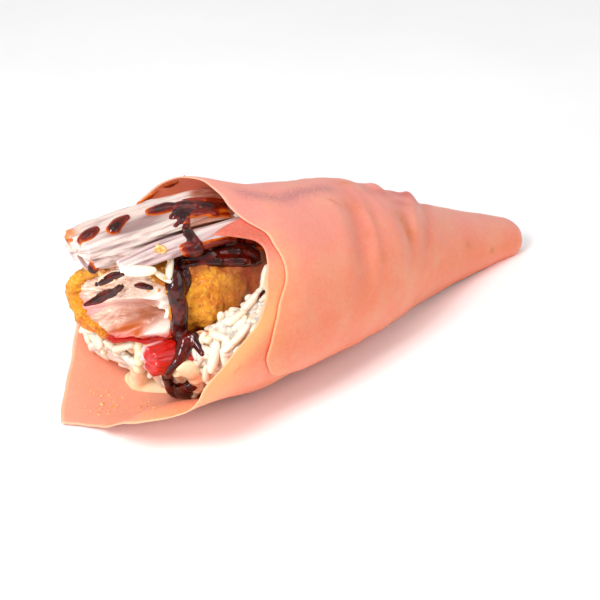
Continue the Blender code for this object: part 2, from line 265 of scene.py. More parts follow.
class Shader:
    """A material with one Principled BSDF and short calls for the nodes round it."""

    def __init__(self, name, roughness=0.5, **settings):
        self.material = bpy.data.materials.new(name)
        self.material.use_nodes = True
        self.tree = self.material.node_tree
        self.bsdf = self.tree.nodes["Principled BSDF"]
        self.bsdf.inputs["Roughness"].default_value = roughness
        for key, value in settings.items():
            self.bsdf.inputs[key.replace("_", " ")].default_value = value
        self.place = self.node("ShaderNodeTexCoord").outputs["Object"]

    def node(self, kind, **values):
        made = self.tree.nodes.new(kind)
        for key, value in values.items():
            setattr(made, key, value)
        return made

    def put(self, value, socket):
        if isinstance(value, bpy.types.NodeSocket):
            self.tree.links.new(value, socket)
        elif isinstance(value, tuple) and len(value) == 3 and socket.type == "RGBA":
            socket.default_value = (*value, 1.0)
        else:
            socket.default_value = value

    def attribute(self, name):
        return self.node("ShaderNodeAttribute", attribute_name=name).outputs["Fac"]

    def shared(self, name, **inputs):
        """One of the shared effects, with its inputs set by name."""
        made = self.node("ShaderNodeGroup", node_tree=effect(name))
        for key, value in inputs.items():
            self.put(value, made.inputs[key])
        return made.outputs[0]

    def noise(self, size, detail=4.0, roughness=0.55, stretch=(1.0, 1.0, 1.0)):
        """Uneven tone whose features are about size millimetres across."""
        return self.shared("uneven_tone", Place=self.place, Stretch=stretch,
                           Size=size * MM, Detail=detail, Roughness=roughness)

    def cells(self, size, feature="F1"):
        made = self.node("ShaderNodeTexVoronoi", feature=feature)
        made.inputs["Scale"].default_value = 1.0 / (size * MM)
        self.put(self.place, made.inputs["Vector"])
        return made.outputs["Distance"]

    def ramp(self, value, low, high, out_low=0.0, out_high=1.0):
        made = self.node("ShaderNodeMapRange", interpolation_type="SMOOTHSTEP")
        self.put(value, made.inputs["Value"])
        for key, number in (("From Min", low), ("From Max", high),
                            ("To Min", out_low), ("To Max", out_high)):
            made.inputs[key].default_value = number
        return made.outputs["Result"]

    def maths(self, operation, a, b):
        made = self.node("ShaderNodeMath", operation=operation)
        self.put(a, made.inputs[0])
        self.put(b, made.inputs[1])
        return made.outputs[0]

    def mix(self, factor, a, b, blend="MIX"):
        made = self.node("ShaderNodeMix", data_type="RGBA", blend_type=blend)
        self.put(factor, made.inputs[0])
        self.put(a, made.inputs[6])
        self.put(b, made.inputs[7])
        return made.outputs[2]

    def bump(self, height, strength, depth):
        made = self.node("ShaderNodeBump")
        made.inputs["Strength"].default_value = strength
        made.inputs["Distance"].default_value = depth * MM
        self.put(height, made.inputs["Height"])
        self.put(made.outputs["Normal"], self.bsdf.inputs["Normal"])

    def colour(self, value):
        self.put(value, self.bsdf.inputs["Base Color"])
        return self.material


def paper_material():
    s = Shader("soy_paper", roughness=0.46, Specular_IOR_Level=0.35,
               Subsurface_Weight=0.45, Subsurface_Scale=0.0016)
    s.bsdf.inputs["Subsurface Radius"].default_value = (1.3, 0.7, 0.5)
    cloud = s.noise(9.0, detail=3.0)
    fine = s.noise(0.7, detail=5.0)
    # Painted light: the top pinker, standing for sheen from the light above, and the sides more
    # orange.
    colour = s.mix(s.attribute("painted_light_side_tone"), srgb(252, 144, 132), srgb(255, 124, 84))
    colour = s.mix(s.ramp(cloud, 0.35, 0.7, 0.0, 0.35), colour, srgb(252, 165, 128))
    # Painted glow: light shining through the paper near the rims.
    colour = s.mix(s.attribute("painted_glow"), colour, srgb(255, 178, 112))
    # Painted shade: the inside face of the flap and of the wall within the roll darkened and
    # dulled.
    colour = s.mix(s.attribute("inner"), colour, srgb(235, 153, 130))
    # Painted highlight: a lighter line along the cut edge of the sheet.
    colour = s.mix(s.attribute("edge"), colour, srgb(252, 176, 142))
    # Darker red partly painted shade under the outer layer's rim, partly sauce showing through
    # the paper.
    colour = s.mix(s.attribute("ruddy_shade_and_sauce"), colour, srgb(214, 92, 70))
    colour = s.mix(s.attribute("blush"), colour, srgb(216, 84, 86))
    mottle = s.ramp(s.noise(1.4, detail=6.0), 0.38, 0.62)
    # Painted shade in the furrows of the folds of the outer layer.
    colour = s.mix(s.attribute("crease"), colour, srgb(226, 104, 84))
    stain = s.maths("MULTIPLY", s.attribute("stain"), s.maths("ADD", 0.45, mottle))
    colour = s.mix(stain, colour, srgb(226, 112, 58))
    speckle = s.ramp(s.noise(0.55, detail=3.0), 0.36, 0.66, 0.45, 1.0)
    under = s.maths("MULTIPLY", s.attribute("streak"), speckle)
    colour = s.mix(under, colour, srgb(176, 108, 112))
    colour = s.mix(s.ramp(fine, 0.3, 0.75, 0.0, 0.16), colour, srgb(255, 196, 176))
    s.bump(s.noise(0.35, detail=6.0), 0.25, 0.06)
    return s.colour(colour)


def rice_material():
    s = Shader("cooked_rice", roughness=0.38, Specular_IOR_Level=0.5,
               Subsurface_Weight=0.55, Subsurface_Scale=0.0012)
    s.bsdf.inputs["Subsurface Radius"].default_value = (1.4, 0.9, 0.6)
    colour = s.mix(s.ramp(s.noise(5.0), 0.35, 0.7), srgb(248, 232, 214), srgb(240, 214, 186))
    # Painted highlight: scattered paler specks on the grains.
    colour = s.mix(s.ramp(s.noise(0.8), 0.45, 0.8, 0.0, 0.5), colour, srgb(253, 241, 228))
    s.bump(s.noise(0.5, detail=4.0), 0.3, 0.05)
    return s.colour(colour)


def rice_core_material():
    s = Shader("rice_shadow", roughness=0.5, Subsurface_Weight=0.3,
               Subsurface_Scale=0.001)
    colour = s.mix(s.ramp(s.cells(2.6), 0.1, 0.6), srgb(252, 232, 208), srgb(232, 182, 140))
    s.bump(s.cells(2.6), 0.8, 0.8)
    return s.colour(colour)


def crust_material():
    s = Shader("fried_crumb", roughness=0.4, Specular_IOR_Level=0.5, Coat_Weight=0.3,
               Coat_Roughness=0.22, Subsurface_Weight=0.06, Subsurface_Scale=0.0006)
    patch = s.ramp(s.noise(4.5, detail=3.0), 0.38, 0.68)
    colour = s.mix(patch, srgb(250, 168, 14), srgb(228, 120, 4))
    colour = s.mix(s.ramp(s.noise(1.2, detail=5.0), 0.48, 0.74), colour, srgb(190, 78, 2))
    colour = s.mix(s.ramp(s.noise(0.7, detail=4.0), 0.50, 0.68, 0.0, 0.8), colour,
                   srgb(255, 204, 48))
    colour = s.mix(s.attribute("soaked"), colour, srgb(150, 50, 2))
    colour = s.mix(s.attribute("skin"), colour, srgb(206, 26, 10))
    s.bump(s.noise(0.8, detail=8.0, roughness=0.75), 1.0, 0.8)
    return s.colour(colour)


def flesh_material():
    s = Shader("stick_flesh", roughness=0.35, Specular_IOR_Level=0.5, Coat_Weight=0.2,
               Coat_Roughness=0.2, Subsurface_Weight=0.2, Subsurface_Scale=0.0008)
    fibre = s.noise(0.6, detail=4.0, stretch=(0.25, 0.35, 1.6))
    colour = s.mix(s.ramp(fibre, 0.35, 0.65), srgb(206, 156, 130), srgb(240, 214, 194))
    # Painted shade between the torn ribbons of the cut face.
    colour = s.mix(s.ramp(s.attribute("sunk"), 0.0, 1.0), colour, srgb(196, 128, 112))
    # Painted shade in the hollow of the cut face.
    colour = s.mix(s.attribute("hollow"), colour, srgb(170, 100, 70))
    colour = s.mix(s.attribute("white"), colour, srgb(248, 236, 226))
    colour = s.mix(s.attribute("pink"), colour, srgb(240, 140, 136))
    colour = s.mix(s.attribute("red"), colour, srgb(206, 26, 10))
    colour = s.mix(s.attribute("oil"), colour, srgb(190, 92, 12))
    s.bump(fibre, 0.3, 0.25)
    return s.colour(colour)


def crab_material(name, light, dark, stretch):
    s = Shader(name, roughness=0.36, Specular_IOR_Level=0.5, Coat_Weight=0.2,
               Coat_Roughness=0.2, Subsurface_Weight=0.4, Subsurface_Scale=0.0014)
    fibre = s.noise(1.0, detail=4.0, stretch=stretch)
    wide = s.noise(3.2, detail=2.0, stretch=stretch)
    colour = s.mix(s.ramp(fibre, 0.46, 0.72), light, dark)
    colour = s.mix(s.ramp(wide, 0.45, 0.7, 0.0, 0.85), colour, srgb(234, 220, 212))
    # Painted shade in the grooves between the fibres.
    colour = s.mix(s.attribute("painted_groove_shade"), colour, srgb(128, 84, 86))
    colour = s.mix(s.attribute("browned"), colour, srgb(206, 126, 60))
    sauced = s.shared("wet_edge", Thinness=s.attribute("sauced"), Tone=fibre, Patchiness=0.9,
                      Low=0.1, High=1.0)
    colour = s.mix(sauced, colour, srgb(160, 84, 44))
    s.bump(fibre, 0.6, 0.4)
    return s.colour(colour)


def red_material():
    s = Shader("red_crab_stick", roughness=0.28, Specular_IOR_Level=0.5, Coat_Weight=0.4,
               Coat_Roughness=0.12, Subsurface_Weight=0.06, Subsurface_Scale=0.0006)
    fibre = s.noise(0.7, detail=4.0, stretch=(0.2, 1.0, 1.0))
    skin = s.mix(s.ramp(fibre, 0.35, 0.7), srgb(206, 16, 5), srgb(156, 6, 3))
    colour = s.mix(s.attribute("core"), skin, srgb(248, 196, 196))
    s.bump(fibre, 0.4, 0.25)
    return s.colour(colour)


def mayo_material():
    s = Shader("mayonnaise", roughness=0.22, Specular_IOR_Level=0.5, Coat_Weight=0.35,
               Coat_Roughness=0.1, Subsurface_Weight=0.15, Subsurface_Scale=0.0006)
    colour = s.mix(s.ramp(s.noise(4.0), 0.4, 0.7), srgb(255, 244, 208), srgb(255, 234, 186))
    return s.colour(colour)


def sauce_material():
    s = Shader("dark_sauce", roughness=0.08, Specular_IOR_Level=0.42)
    thin = s.attribute("thin")
    colour = s.mix(s.ramp(s.noise(3.0), 0.42, 0.72), srgb(42, 5, 3), srgb(104, 14, 4))
    tone = s.noise(1.6, detail=2.0)
    half = s.shared("wet_edge", Thinness=thin, Tone=tone, Patchiness=0.25, Low=0.3, High=0.64)
    clear = s.shared("wet_edge", Thinness=thin, Tone=tone, Patchiness=0.35, Low=0.6, High=0.92)
    colour = s.mix(half, colour, srgb(124, 24, 4))
    colour = s.mix(clear, colour, srgb(206, 96, 12))
    s.bump(s.noise(3.4, detail=1.0), 0.12, 0.3)
    return s.colour(colour)


def crumb_material():
    s = Shader("loose_crumb", roughness=0.55)
    colour = s.mix(s.ramp(s.noise(1.0), 0.4, 0.65), srgb(255, 206, 140), srgb(226, 142, 60))
    return s.colour(colour)


# --- the paper ------------------------------------------------------------------------

def section(distance, turn, offset, floor):
    """Points of the roll; offset is outwards from the middle of the inner layer."""
    half = along(SECTIONS, distance, 1) - LAYER_STEP - CAD_PAPER / 2
    tall = along(SECTIONS, distance, 2) - LAYER_STEP - CAD_PAPER
    shift = along(SECTIONS, distance, 3)
    a = np.radians(turn)
    rise = tall / 2
    ny, nz = -np.cos(a) * rise, np.sin(a) * half
    size = np.hypot(ny, nz)
    y = -half * np.cos(a) + offset * ny / size
    z = rise + rise * np.sin(a) + offset * nz / size - 0.05
    return np.stack([VERTEX_X - distance, VERTEX_Y + shift + y,
                     np.maximum(z, floor)], -1)


def layer_offset(turn):
    return LAYER_STEP * smooth((-100.0 - turn) / 150.0)


def flap_slack(distance, turn):
    return FLAP_LIFT * hill((turn - FLAP_TURN) / 48.0) * smooth((distance - 116.0) / 34.0)


# Folds in the paper: distance at a reference turn, lean per degree, reference turn,
# reach to each side in degrees, half width, height (below 0 is a furrow)
FOLDS = (
    (87.5, -0.14, 48.0, 62.0, 3.4, -0.75),
    (94.0, -0.10, 44.0, 58.0, 3.6, 0.35),
    (81.5, -0.09, 48.0, 46.0, 2.2, -0.40),
    (84.2, -0.10, 40.0, 40.0, 1.6, 0.30),
    (75.2, -0.08, 42.0, 48.0, 2.4, 0.45),
    (69.6, -0.05, 36.0, 36.0, 2.2, -0.60),
    (65.4, -0.16, 44.0, 50.0, 1.7, 0.55),
    (59.0, -0.17, 46.0, 56.0, 2.2, -0.55),
    (57.2, 0.10, 30.0, 44.0, 1.4, 0.30),
    (90.2, 0.42, 69.5, 7.0, 0.5, -0.35),
    (73.0, -0.10, 92.0, 26.0, 2.2, -0.55),
    (64.4, -0.12, 96.0, 26.0, 1.8, -0.40),
    (68.5, -0.10, 94.0, 24.0, 1.8, 0.45),
    (57.4, -0.156, 90.0, 36.0, 2.4, 1.15),
    (53.4, -0.150, 88.0, 36.0, 1.6, -0.45),
    (104.0, -0.04, 20.0, 60.0, 7.0, 0.25),
    (78.0, 0.08, 170.0, 70.0, 3.0, -0.50),
    (69.0, -0.06, 190.0, 60.0, 2.6, 0.45),
    (96.0, 0.10, 150.0, 60.0, 4.0, -0.35),
)


def folds(distance, turn):
    """Height of the folds of the layer that shows, for an unwrapped turn."""
    angle = np.mod(turn + 180.0, 360.0) - 180.0
    height = np.zeros(np.broadcast(distance, turn).shape)
    for start, lean, middle, reach, width, tall in FOLDS:
        away = np.mod(angle - middle + 180.0, 360.0) - 180.0
        centre = start + lean * away
        across = (distance - centre) / width
        height += tall * np.exp(-across * across) * hill(away / reach)
    return height


def paper_tints(distance, turn, rim):
    """How strongly each tint of the paper shows, for the sheet's points; several tints are
    painted light and shade.
    """
    angle = np.mod(turn + 180.0, 360.0) - 180.0
    near = np.abs(np.where(angle > 90.0, 180.0 - angle, angle))
    # Painted light: 1 on the sides, which take the orange, down to 0 on the top, which takes the
    # pink painted sheen.
    painted_light_side_tone = smooth((78.0 - near) / 80.0)
    painted_light_side_tone = np.where(angle < -30.0, 1.0, painted_light_side_tone)
    inner = turn > -60.0
    to_rim = rim - distance
    band = inner * smooth(1.0 - (to_rim - 3.0) / 16.0)
    # Painted glow of light through the paper: on the inner band near the rim, and weaker along
    # the outer layer's rim.
    painted_glow = band * (0.35 + 0.65 * hill((turn - 4.0) / 34.0)) * smooth((52.0 - turn) / 18.0)
    painted_glow = np.maximum(painted_glow, 0.30 * (turn < -300.0) * smooth(1.0 - to_rim / 7.0))
    # Partly painted shade under the outer layer's rim, partly sauce showing through: darker red
    # on the band's upper part.
    ruddy_shade_and_sauce = band * smooth((turn - 38.0) / 22.0) * 0.9

    def spot(d, a, size_d, size_a, strength):
        away = np.mod(angle - a + 180.0, 360.0) - 180.0
        return strength * np.exp(-((distance - d) / size_d) ** 2 - (away / size_a) ** 2)

    blush = np.maximum.reduce([
        spot(61.0, 84.0, 6.0, 9.0, 0.95), spot(70.5, 77.0, 4.5, 8.0, 0.55),
        spot(66.5, 66.0, 4.5, 5.0, 0.45), spot(58.5, 74.0, 2.5, 6.0, 0.75),
    ])
    stain = np.maximum.reduce([
        spot(69.5, 38.0, 1.8, 8.0, 0.95), spot(70.5, 50.0, 2.6, 7.0, 0.7),
        spot(85.5, 42.0, 1.5, 4.0, 0.55), spot(83.8, 25.0, 1.4, 4.0, 0.45),
        spot(85.5, 64.0, 2.6, 6.0, 0.5), spot(79.8, 91.8, 4.0, 3.5, 0.55),
        spot(67.0, -26.5, 1.6, 6.0, 0.4), spot(43.8, 20.0, 2.2, 9.0, 0.5),
        spot(33.5, 2.0, 0.7, 6.0, 1.2), spot(135.2, -7.3, 0.5, 1.2, 1.2),
        spot(92.0, 8.0, 5.0, 12.0, 0.15), spot(126.0, -100.0, 5.0, 6.0, 0.2),
    ])
    run = np.interp(distance, (86.0, 97.0, 104.0, 112.0), (84.0, 82.5, 79.0, 89.0))
    streak = np.exp(-((angle - run) / 6.0) ** 2) * smooth((distance - 83.0) / 6.0)
    streak *= smooth((117.0 - distance) / 6.0) * (turn < -200.0) * 0.9
    crease = np.exp(-((distance - (90.2 + 0.42 * (angle - 69.5))) / 0.5) ** 2)
    stain = np.maximum(stain, crease * hill((angle - 69.5) / 5.5) * 0.8)
    # Painted shade: the furrows of the folds darkened, on the outer layer only.
    furrow = np.clip(-folds(distance, turn), 0.0, 1.0) * (turn < -150.0)
    # Painted shade for the inside face of the flap and of the wall within the roll.
    flat = smooth((-30.0 - turn) / 40.0) * smooth((turn + 200.0) / 30.0) * 0.9
    # Painted highlight along the sheet's cut edge.
    edge = smooth((distance - rim + 0.7) / 0.5) * 0.55
    return dict(painted_light_side_tone=painted_light_side_tone, painted_glow=painted_glow, ruddy_shade_and_sauce=ruddy_shade_and_sauce, blush=blush, stain=stain,
                streak=streak, crease=0.75 * furrow, inner=flat, edge=edge)


def build_paper(material):
    columns, rows = 290, 132
    t = np.linspace(0.0, 1.0, columns)
    rim_turn = RIM[-1][0] + t * (RIM[0][0] - RIM[-1][0])
    rim_turn[np.argmin(np.abs(rim_turn - CORNER_TURN))] = CORNER_TURN
    rim = along(RIM, rim_turn, corner=CORNER_TURN)
    rim = rim + 0.25 * np.sin(rim_turn * 0.31) * np.cos(rim_turn * 0.113)
    twist = INNER_TWIST * (1 - t) ** 5 + OUTER_TWIST * t ** 6
    v = np.linspace(0.0, 1.0, rows) ** 1.12
    at_rim = layer_offset(rim_turn)
    pole = TIP_END + (LAYER_STEP - at_rim) * 0.9
    distance = pole[:, None] + v[None, :] * (rim - pole)[:, None]
    turn = rim_turn[:, None] + twist[:, None] * (1.0 - v[None, :]) ** 0.8
    rim_grid = np.broadcast_to(rim[:, None], distance.shape)
    flare = PEAK_FLARE * hill((turn - PEAK_TURN) / 42.0)
    flare = flare * smooth((distance - rim_grid + 16.0) / 16.0)
    middle = 1.25 * layer_offset(turn) + flare - flap_slack(distance, turn)
    outer_fold = folds(distance, turn) * smooth((rim_grid - distance) / 10.0)
    middle = middle + outer_fold * 1.35
    tuck = smooth((distance - rim_grid + 9.0) / 9.0) * smooth((-268.0 - turn) / 30.0)
    middle = middle - 0.85 * tuck
    local = np.stack([distance * 0.12, turn * 0.02, turn * 0.0], -1).reshape(-1, 3)
    middle = middle + 0.22 * wobble(local, 1.0, 3.0).reshape(distance.shape)
    local = np.stack([distance * 0.4, turn * 0.035, turn * 0.0], -1).reshape(-1, 3)
    crinkle = wobble(local, 1.0, 8.0).reshape(distance.shape) * (turn < -150.0)
    middle = middle + 0.22 * crinkle * hill((distance - 78.0) / 34.0)
    back = (distance - pole[:, None]) / NOSE
    scale = np.sqrt(1.0 - (1.0 - np.clip(back, 0.0, 1.0)) ** 2)
    centre = section(distance, turn * 0.0, 0.0, 0.0)
    centre[..., 1] = VERTEX_Y + along(SECTIONS, distance, 3)
    centre[..., 2] = (along(SECTIONS, distance, 2) - LAYER_STEP) / 2
    faces_out = []
    for side in (1.0, -1.0):
        floor = 0.0 if side > 0 else PAPER
        skin = section(distance, turn, middle + side * PAPER / 2, floor)
        skin = centre + (skin - centre) * scale[..., None]
        if side < 0:
            skin[..., 0] -= PAPER * (1.0 - np.clip(back, 0.0, 1.0))
        faces_out.append(skin.reshape(-1, 3))
    points = np.concatenate(faces_out)
    count = columns * rows
    faces = []
    for k in range(columns - 1):
        for r in range(rows - 1):
            a = k * rows + r
            quad = (a, a + rows, a + rows + 1, a + 1)
            faces.append(quad)
            faces.append(tuple(count + i for i in reversed(quad)))
        for r in (0, rows - 1):
            a = k * rows + r
            faces.append((a, a + rows, a + rows + count, a + count))
    for k in (0, columns - 1):
        for r in range(rows - 1):
            a = k * rows + r
            faces.append((a, a + 1, a + 1 + count, a + count))
    paper = mesh_piece("paper_wrap", points, faces, material)
    for name, values in paper_tints(distance, turn, rim_grid).items():
        set_attribute(paper, name, np.tile(values.reshape(-1), 2))
    return paper


RICE_FOOT = 1.5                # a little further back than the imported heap


def rice_line(distance):
    """How high the rice stands against the breaded stick on the side at -Y."""
    return np.interp(distance, (112.0, 117.5, 121.0, 127.0, 131.0, 138.0),
                     (40.0, 33.5, 30.4, 28.6, 25.8, 26.0))


def wall_gap(points):
    """Rough distance of points inside the roll from the paper's inner face."""
    points = np.atleast_2d(points)
    distance = VERTEX_X - points[:, 0]
    half = along(SECTIONS, distance, 1) - LAYER_STEP - CAD_PAPER
    rise = (along(SECTIONS, distance, 2) - LAYER_STEP - CAD_PAPER) / 2
    y = (points[:, 1] - VERTEX_Y - along(SECTIONS, distance, 3)) / half
    z = (points[:, 2] - rise) / rise
    angle = np.degrees(np.arctan2(z, -y))
    unwrapped = np.where(angle > 75.0, angle - 360.0, angle)
    slack = flap_slack(distance, unwrapped)
    radius = np.hypot(half * np.cos(np.radians(angle)), rise * np.sin(np.radians(angle)))
    beyond = distance > along(RIM, unwrapped, corner=CORNER_TURN) + 2.0
    gap = (1.0 - np.hypot(y, z)) * radius - slack
    return np.where(beyond, 9.0, gap)


# --- bars and heaps -------------------------------------------------------------------

def bar_points(route, around, rows, power, blunt, cut=0.0):
    """Loft along a route of (distance, y, z, half width, half height, roll)."""
    v = 0.5 - 0.5 * np.cos(math.pi * np.linspace(0.0, 1.0, rows))
    table = sorted(route)
    first, last = route[0][0], route[-1][0]
    d = first + (last - first) * v
    y, z, half, rise, roll = (along(table, d, c) for c in range(1, 6))
    end = np.minimum(v, 1.0 - v) * abs(last - first)
    end = end / (blunt * np.minimum(half, rise))
    least = np.where((v < 0.5) & (cut > 0.0), 0.95, 0.3)
    scale = least + (1.0 - least) * np.sqrt(1.0 - (1.0 - np.clip(end, 0, 1)) ** 2)
    a = np.linspace(0.0, 2.0 * math.pi, around, endpoint=False)
    c, s = np.cos(a), np.sin(a)
    py = np.sign(c) * np.abs(c) ** (2.0 / power)
    pz = np.sign(s) * np.abs(s) ** (2.0 / power)
    py = py[None, :] * (half * scale)[:, None]
    pz = pz[None, :] * (rise * scale)[:, None]
    cr, sr = np.cos(np.radians(roll))[:, None], np.sin(np.radians(roll))[:, None]
    qy, qz = py * cr - pz * sr, py * sr + pz * cr
    fall = (cut * smooth((d - 118.0) / 34.0))[:, None]
    x = (VERTEX_X - d)[:, None] + fall * (0.5 - 0.5 * qy / half[:, None])
    return np.stack([x, VERTEX_Y + y[:, None] + qy, z[:, None] + qz], -1), d, a


def tube_faces(rows, around, base=0):
    faces = []
    for r in range(rows - 1):
        for k in range(around):
            m = (k + 1) % around
            faces.append((base + r * around + k, base + r * around + m,
                          base + (r + 1) * around + m, base + (r + 1) * around + k))
    return faces


def closed_bar(name, grid, material):
    """A lofted bar with a fan at each end."""
    rows, around = grid.shape[:2]
    points = grid.reshape(-1, 3)
    ends = np.stack([grid[0].mean(0), grid[-1].mean(0)])
    faces = tube_faces(rows, around)
    count = rows * around
    for end, row in ((0, 0), (1, rows - 1)):
        for k in range(around):
            faces.append((row * around + k, row * around + (k + 1) % around, count + end))
    return mesh_piece(name, np.concatenate([points, ends]), faces, material)


BREADED = (
    (152.0, 3.6, 29.4, 13.4, 10.2, -12.0), (135.0, 1.0, 30.2, 14.0, 10.5, -10.0),
    (119.0, -0.3, 29.8, 13.8, 10.8, -8.0), (100.0, 0.0, 25.2, 11.5, 9.8, -4.0),
    (84.0, 0.5, 20.5, 9.5, 8.6, 0.0),
)
COAT = 2.1
FACE_Y, FACE_Z = 3.6, 29.4     # middle of the cut end
CUT_FALL = 12.5                # how far the cut end slants back towards -Y


def build_breaded(coat_material, inner_material):
    """Fried coat with an open cut end, and the flesh that shows in it."""
    rows, around = 150, 190
    grid, d = bar_points(BREADED, around, rows, 2.7, 0.18, CUT_FALL)[:2]
    flat = grid.reshape(-1, 3)
    centre = grid.mean(1, keepdims=True)
    out = grid - centre
    out[..., 0] = 0.0
    out /= np.linalg.norm(out, axis=2, keepdims=True)
    lumps = wobble(flat, 3.6, 1.0) * 1.05 + wobble(flat, 1.6, 2.0) * 0.55
    lumps += np.abs(wobble(flat, 0.8, 5.0)) * 0.5
    far_end = smooth((d - 138.0) / 12.0)[:, None]
    far_end = far_end * smooth((grid[..., 1] - centre[..., 1]) / 12.0)
    grid = grid + out * (lumps.reshape(rows, around) - 0.25 - 1.1 * far_end)[..., None]
    front = smooth((d - 147.0) / 5.0)[:, None]
    grid[..., 0] += (wobble(flat, 3.0, 8.0) * 1.5).reshape(rows, around) * front
    # the cut end turns in over the coat's thickness and back inside
    rim = grid[0]
    hub = rim.mean(0)
    far = smooth((rim[:, 1] - hub[1] - 1.0) / 9.0)
    thick = 0.5 + COAT * far
    thick = (thick * (1.0 + 0.35 * wobble(rim, 2.5, 3.0)))[:, None]

    def ring(share, deep):
        inward = hub - rim
        inward /= np.linalg.norm(inward, axis=1, keepdims=True)
        moved = rim + inward * thick * share
        moved[:, 0] += deep + 0.4 * wobble(rim, 1.3, 5.0 + share)
        return moved

    lip = [ring(2.2, 9.0), ring(1.2, 3.2), ring(1.0, 0.9), ring(0.75, -0.35),
           ring(0.4, -0.55), ring(0.12, -0.2)]
    coat_grid = np.concatenate([np.stack(lip), grid])
    rows_all = len(coat_grid)
    points = coat_grid.reshape(-1, 3)
    faces = tube_faces(rows_all, around)
    last = (rows_all - 1) * around
    faces.append(tuple(last + k for k in range(around)))
    faces.append(tuple(reversed(range(around))))
    coat = mesh_piece("fried_coat", points, faces, coat_material)
    p = points
    high = smooth((p[:, 2] - 36.5) / 4.0) * smooth((p[:, 0] + 50.0) / 8.0)
    deep = smooth((p[:, 0] + 44.0) / 12.0) * 0.9
    soaked = np.maximum(high * 0.8, deep) + 0.25 * wobble(p, 3.0, 4.0)
    set_attribute(coat, "soaked", np.clip(soaked, 0.0, 1.0))
    side = p[:, 1] - VERTEX_Y - FACE_Y
    level = p[:, 2] - FACE_Z + 0.3 * side
    skin = smooth((-6.4 - level) / 1.0) * smooth((4.0 - side) / 2.0)
    lip_rows = np.arange(len(p)) < (len(lip) + 7) * around
    set_attribute(coat, "skin", skin * lip_rows)
    flesh = build_flesh(ring(1.12, 0.0), hub, inner_material)
    return coat, flesh


def build_flesh(edge, hub, material):
    """The cut face: torn ribbons across it, a hollow and a red skin below."""
    around, rings = len(edge), 60
    shares = np.linspace(0.0, 1.0, rings)
    grid = hub + (edge - hub)[None, :, :] * (1.0 - shares)[:, None, None]
    y = grid[..., 1] - VERTEX_Y - FACE_Y
    z = grid[..., 2] - FACE_Z
    run = -0.9 * y + 0.43 * z
    across = 0.43 * y + 0.9 * z

    def patch(ry, rz, long, wide, lean=0.45):
        """1 in the middle of an oval on the face, 0 away from it."""
        c, s = math.cos(lean), math.sin(lean)
        u = -(y - ry) * c + (z - rz) * s
        v = (y - ry) * s + (z - rz) * c
        return np.exp(-(u / long) ** 2 - (v / wide) ** 2)

    flat = np.stack([run * 0.2, across, run * 0.0], -1).reshape(-1, 3)
    ribbons = 1.0 - 2.6 * np.abs(wobble(flat, 2.9, 1.0)).reshape(y.shape)
    strands = 1.0 - 2.0 * np.abs(wobble(flat, 1.3, 6.0)).reshape(y.shape)
    hollow = patch(-5.6, -2.5, 5.6, 3.0)
    ridge = np.maximum(patch(-7.2, -5.2, 4.6, 1.7, 0.72), patch(-10.6, 0.4, 1.6, 3.2, 0.2))
    chunk = patch(-9.4, 4.4, 2.4, 3.4, -0.5)
    upper = patch(-4.0, 2.6, 6.5, 1.3, 0.42)
    sunk = patch(5.0, 0.6, 5.0, 1.6, 0.45)
    rise = 1.25 * ribbons + 0.3 * strands + 1.6 * ridge + 1.1 * chunk + 1.2 * upper
    rise -= 5.2 * hollow + 1.2 * sunk
    rise += 0.5 * wobble(np.stack([y, z, y * 0], -1).reshape(-1, 3), 2.4, 2.0).reshape(y.shape)
    inside = smooth(shares / 0.10)[:, None]
    grid = grid.copy()
    grid[..., 0] += 0.9 - rise * inside
    base = grid.reshape(-1, 3)
    back = base[:around].copy()
    back[:, 0] += 5.0
    points = np.concatenate([back, base])
    faces = tube_faces(rings + 1, around)
    faces.append(tuple(reversed(range(around))))
    flesh = mesh_piece("stick_flesh", points, faces, material)
    low = smooth((-9.0 - z + 0.24 * (2.0 - y)) / 0.9)
    edge_pink = np.maximum(smooth((y - 5.4 + 0.85 * (z + 5.0)) / 1.0) * smooth((1.0 - z) / 3.0)
                           * smooth((y - 1.0) / 3.0), smooth((-7.2 - z + 0.24 * (2.0 - y)) / 2.4))
    tints = dict(
        pink=edge_pink * 0.9, red=low, oil=np.maximum(patch(0.0, -7.0, 3.4, 1.2, 0.45),
                                                     patch(-3.0, -7.4, 3.0, 0.8, 0.2)),
        # sunk is painted shade between the ribbons; hollow is painted shade in the hollow.
        sunk=np.clip(0.5 - 0.55 * ribbons, 0, 1), hollow=np.clip(hollow * 1.5, 0, 1),
        white=np.maximum.reduce([ridge, chunk, upper * 0.6]),
    )
    for name, values in tints.items():
        spread = np.concatenate([values[0], values.reshape(-1)])
        set_attribute(flesh, name, np.clip(spread, 0.0, 1.0))
    return flesh


TOP_STICK = (
    (154.0, 6.6, 44.2, 5.8, 3.0, 6.0), (142.0, 5.6, 44.3, 7.0, 3.6, 8.0),
    (124.0, 4.8, 44.3, 7.2, 3.3, 6.0), (102.0, 4.0, 38.7, 6.4, 2.7, 2.0),
    (90.0, 3.6, 34.4, 5.6, 2.4, 0.0),
)
STRIP = (
    (150.0, -4.0, 43.2, 2.4, 1.3, 10.0), (138.0, -5.0, 44.2, 3.0, 1.35, 8.0),
    (118.0, -6.0, 43.8, 3.0, 1.3, 4.0), (104.0, -6.2, 38.2, 2.8, 1.2, 0.0),
)
RED_STICK = (
    (147.0, -8.3, 20.2, 3.3, 3.2, 20.0), (134.0, -9.4, 18.6, 4.4, 3.8, 20.0),
    (112.0, -8.5, 14.6, 4.4, 3.6, 15.0), (92.0, -6.0, 11.0, 3.6, 3.0, 0.0),
)


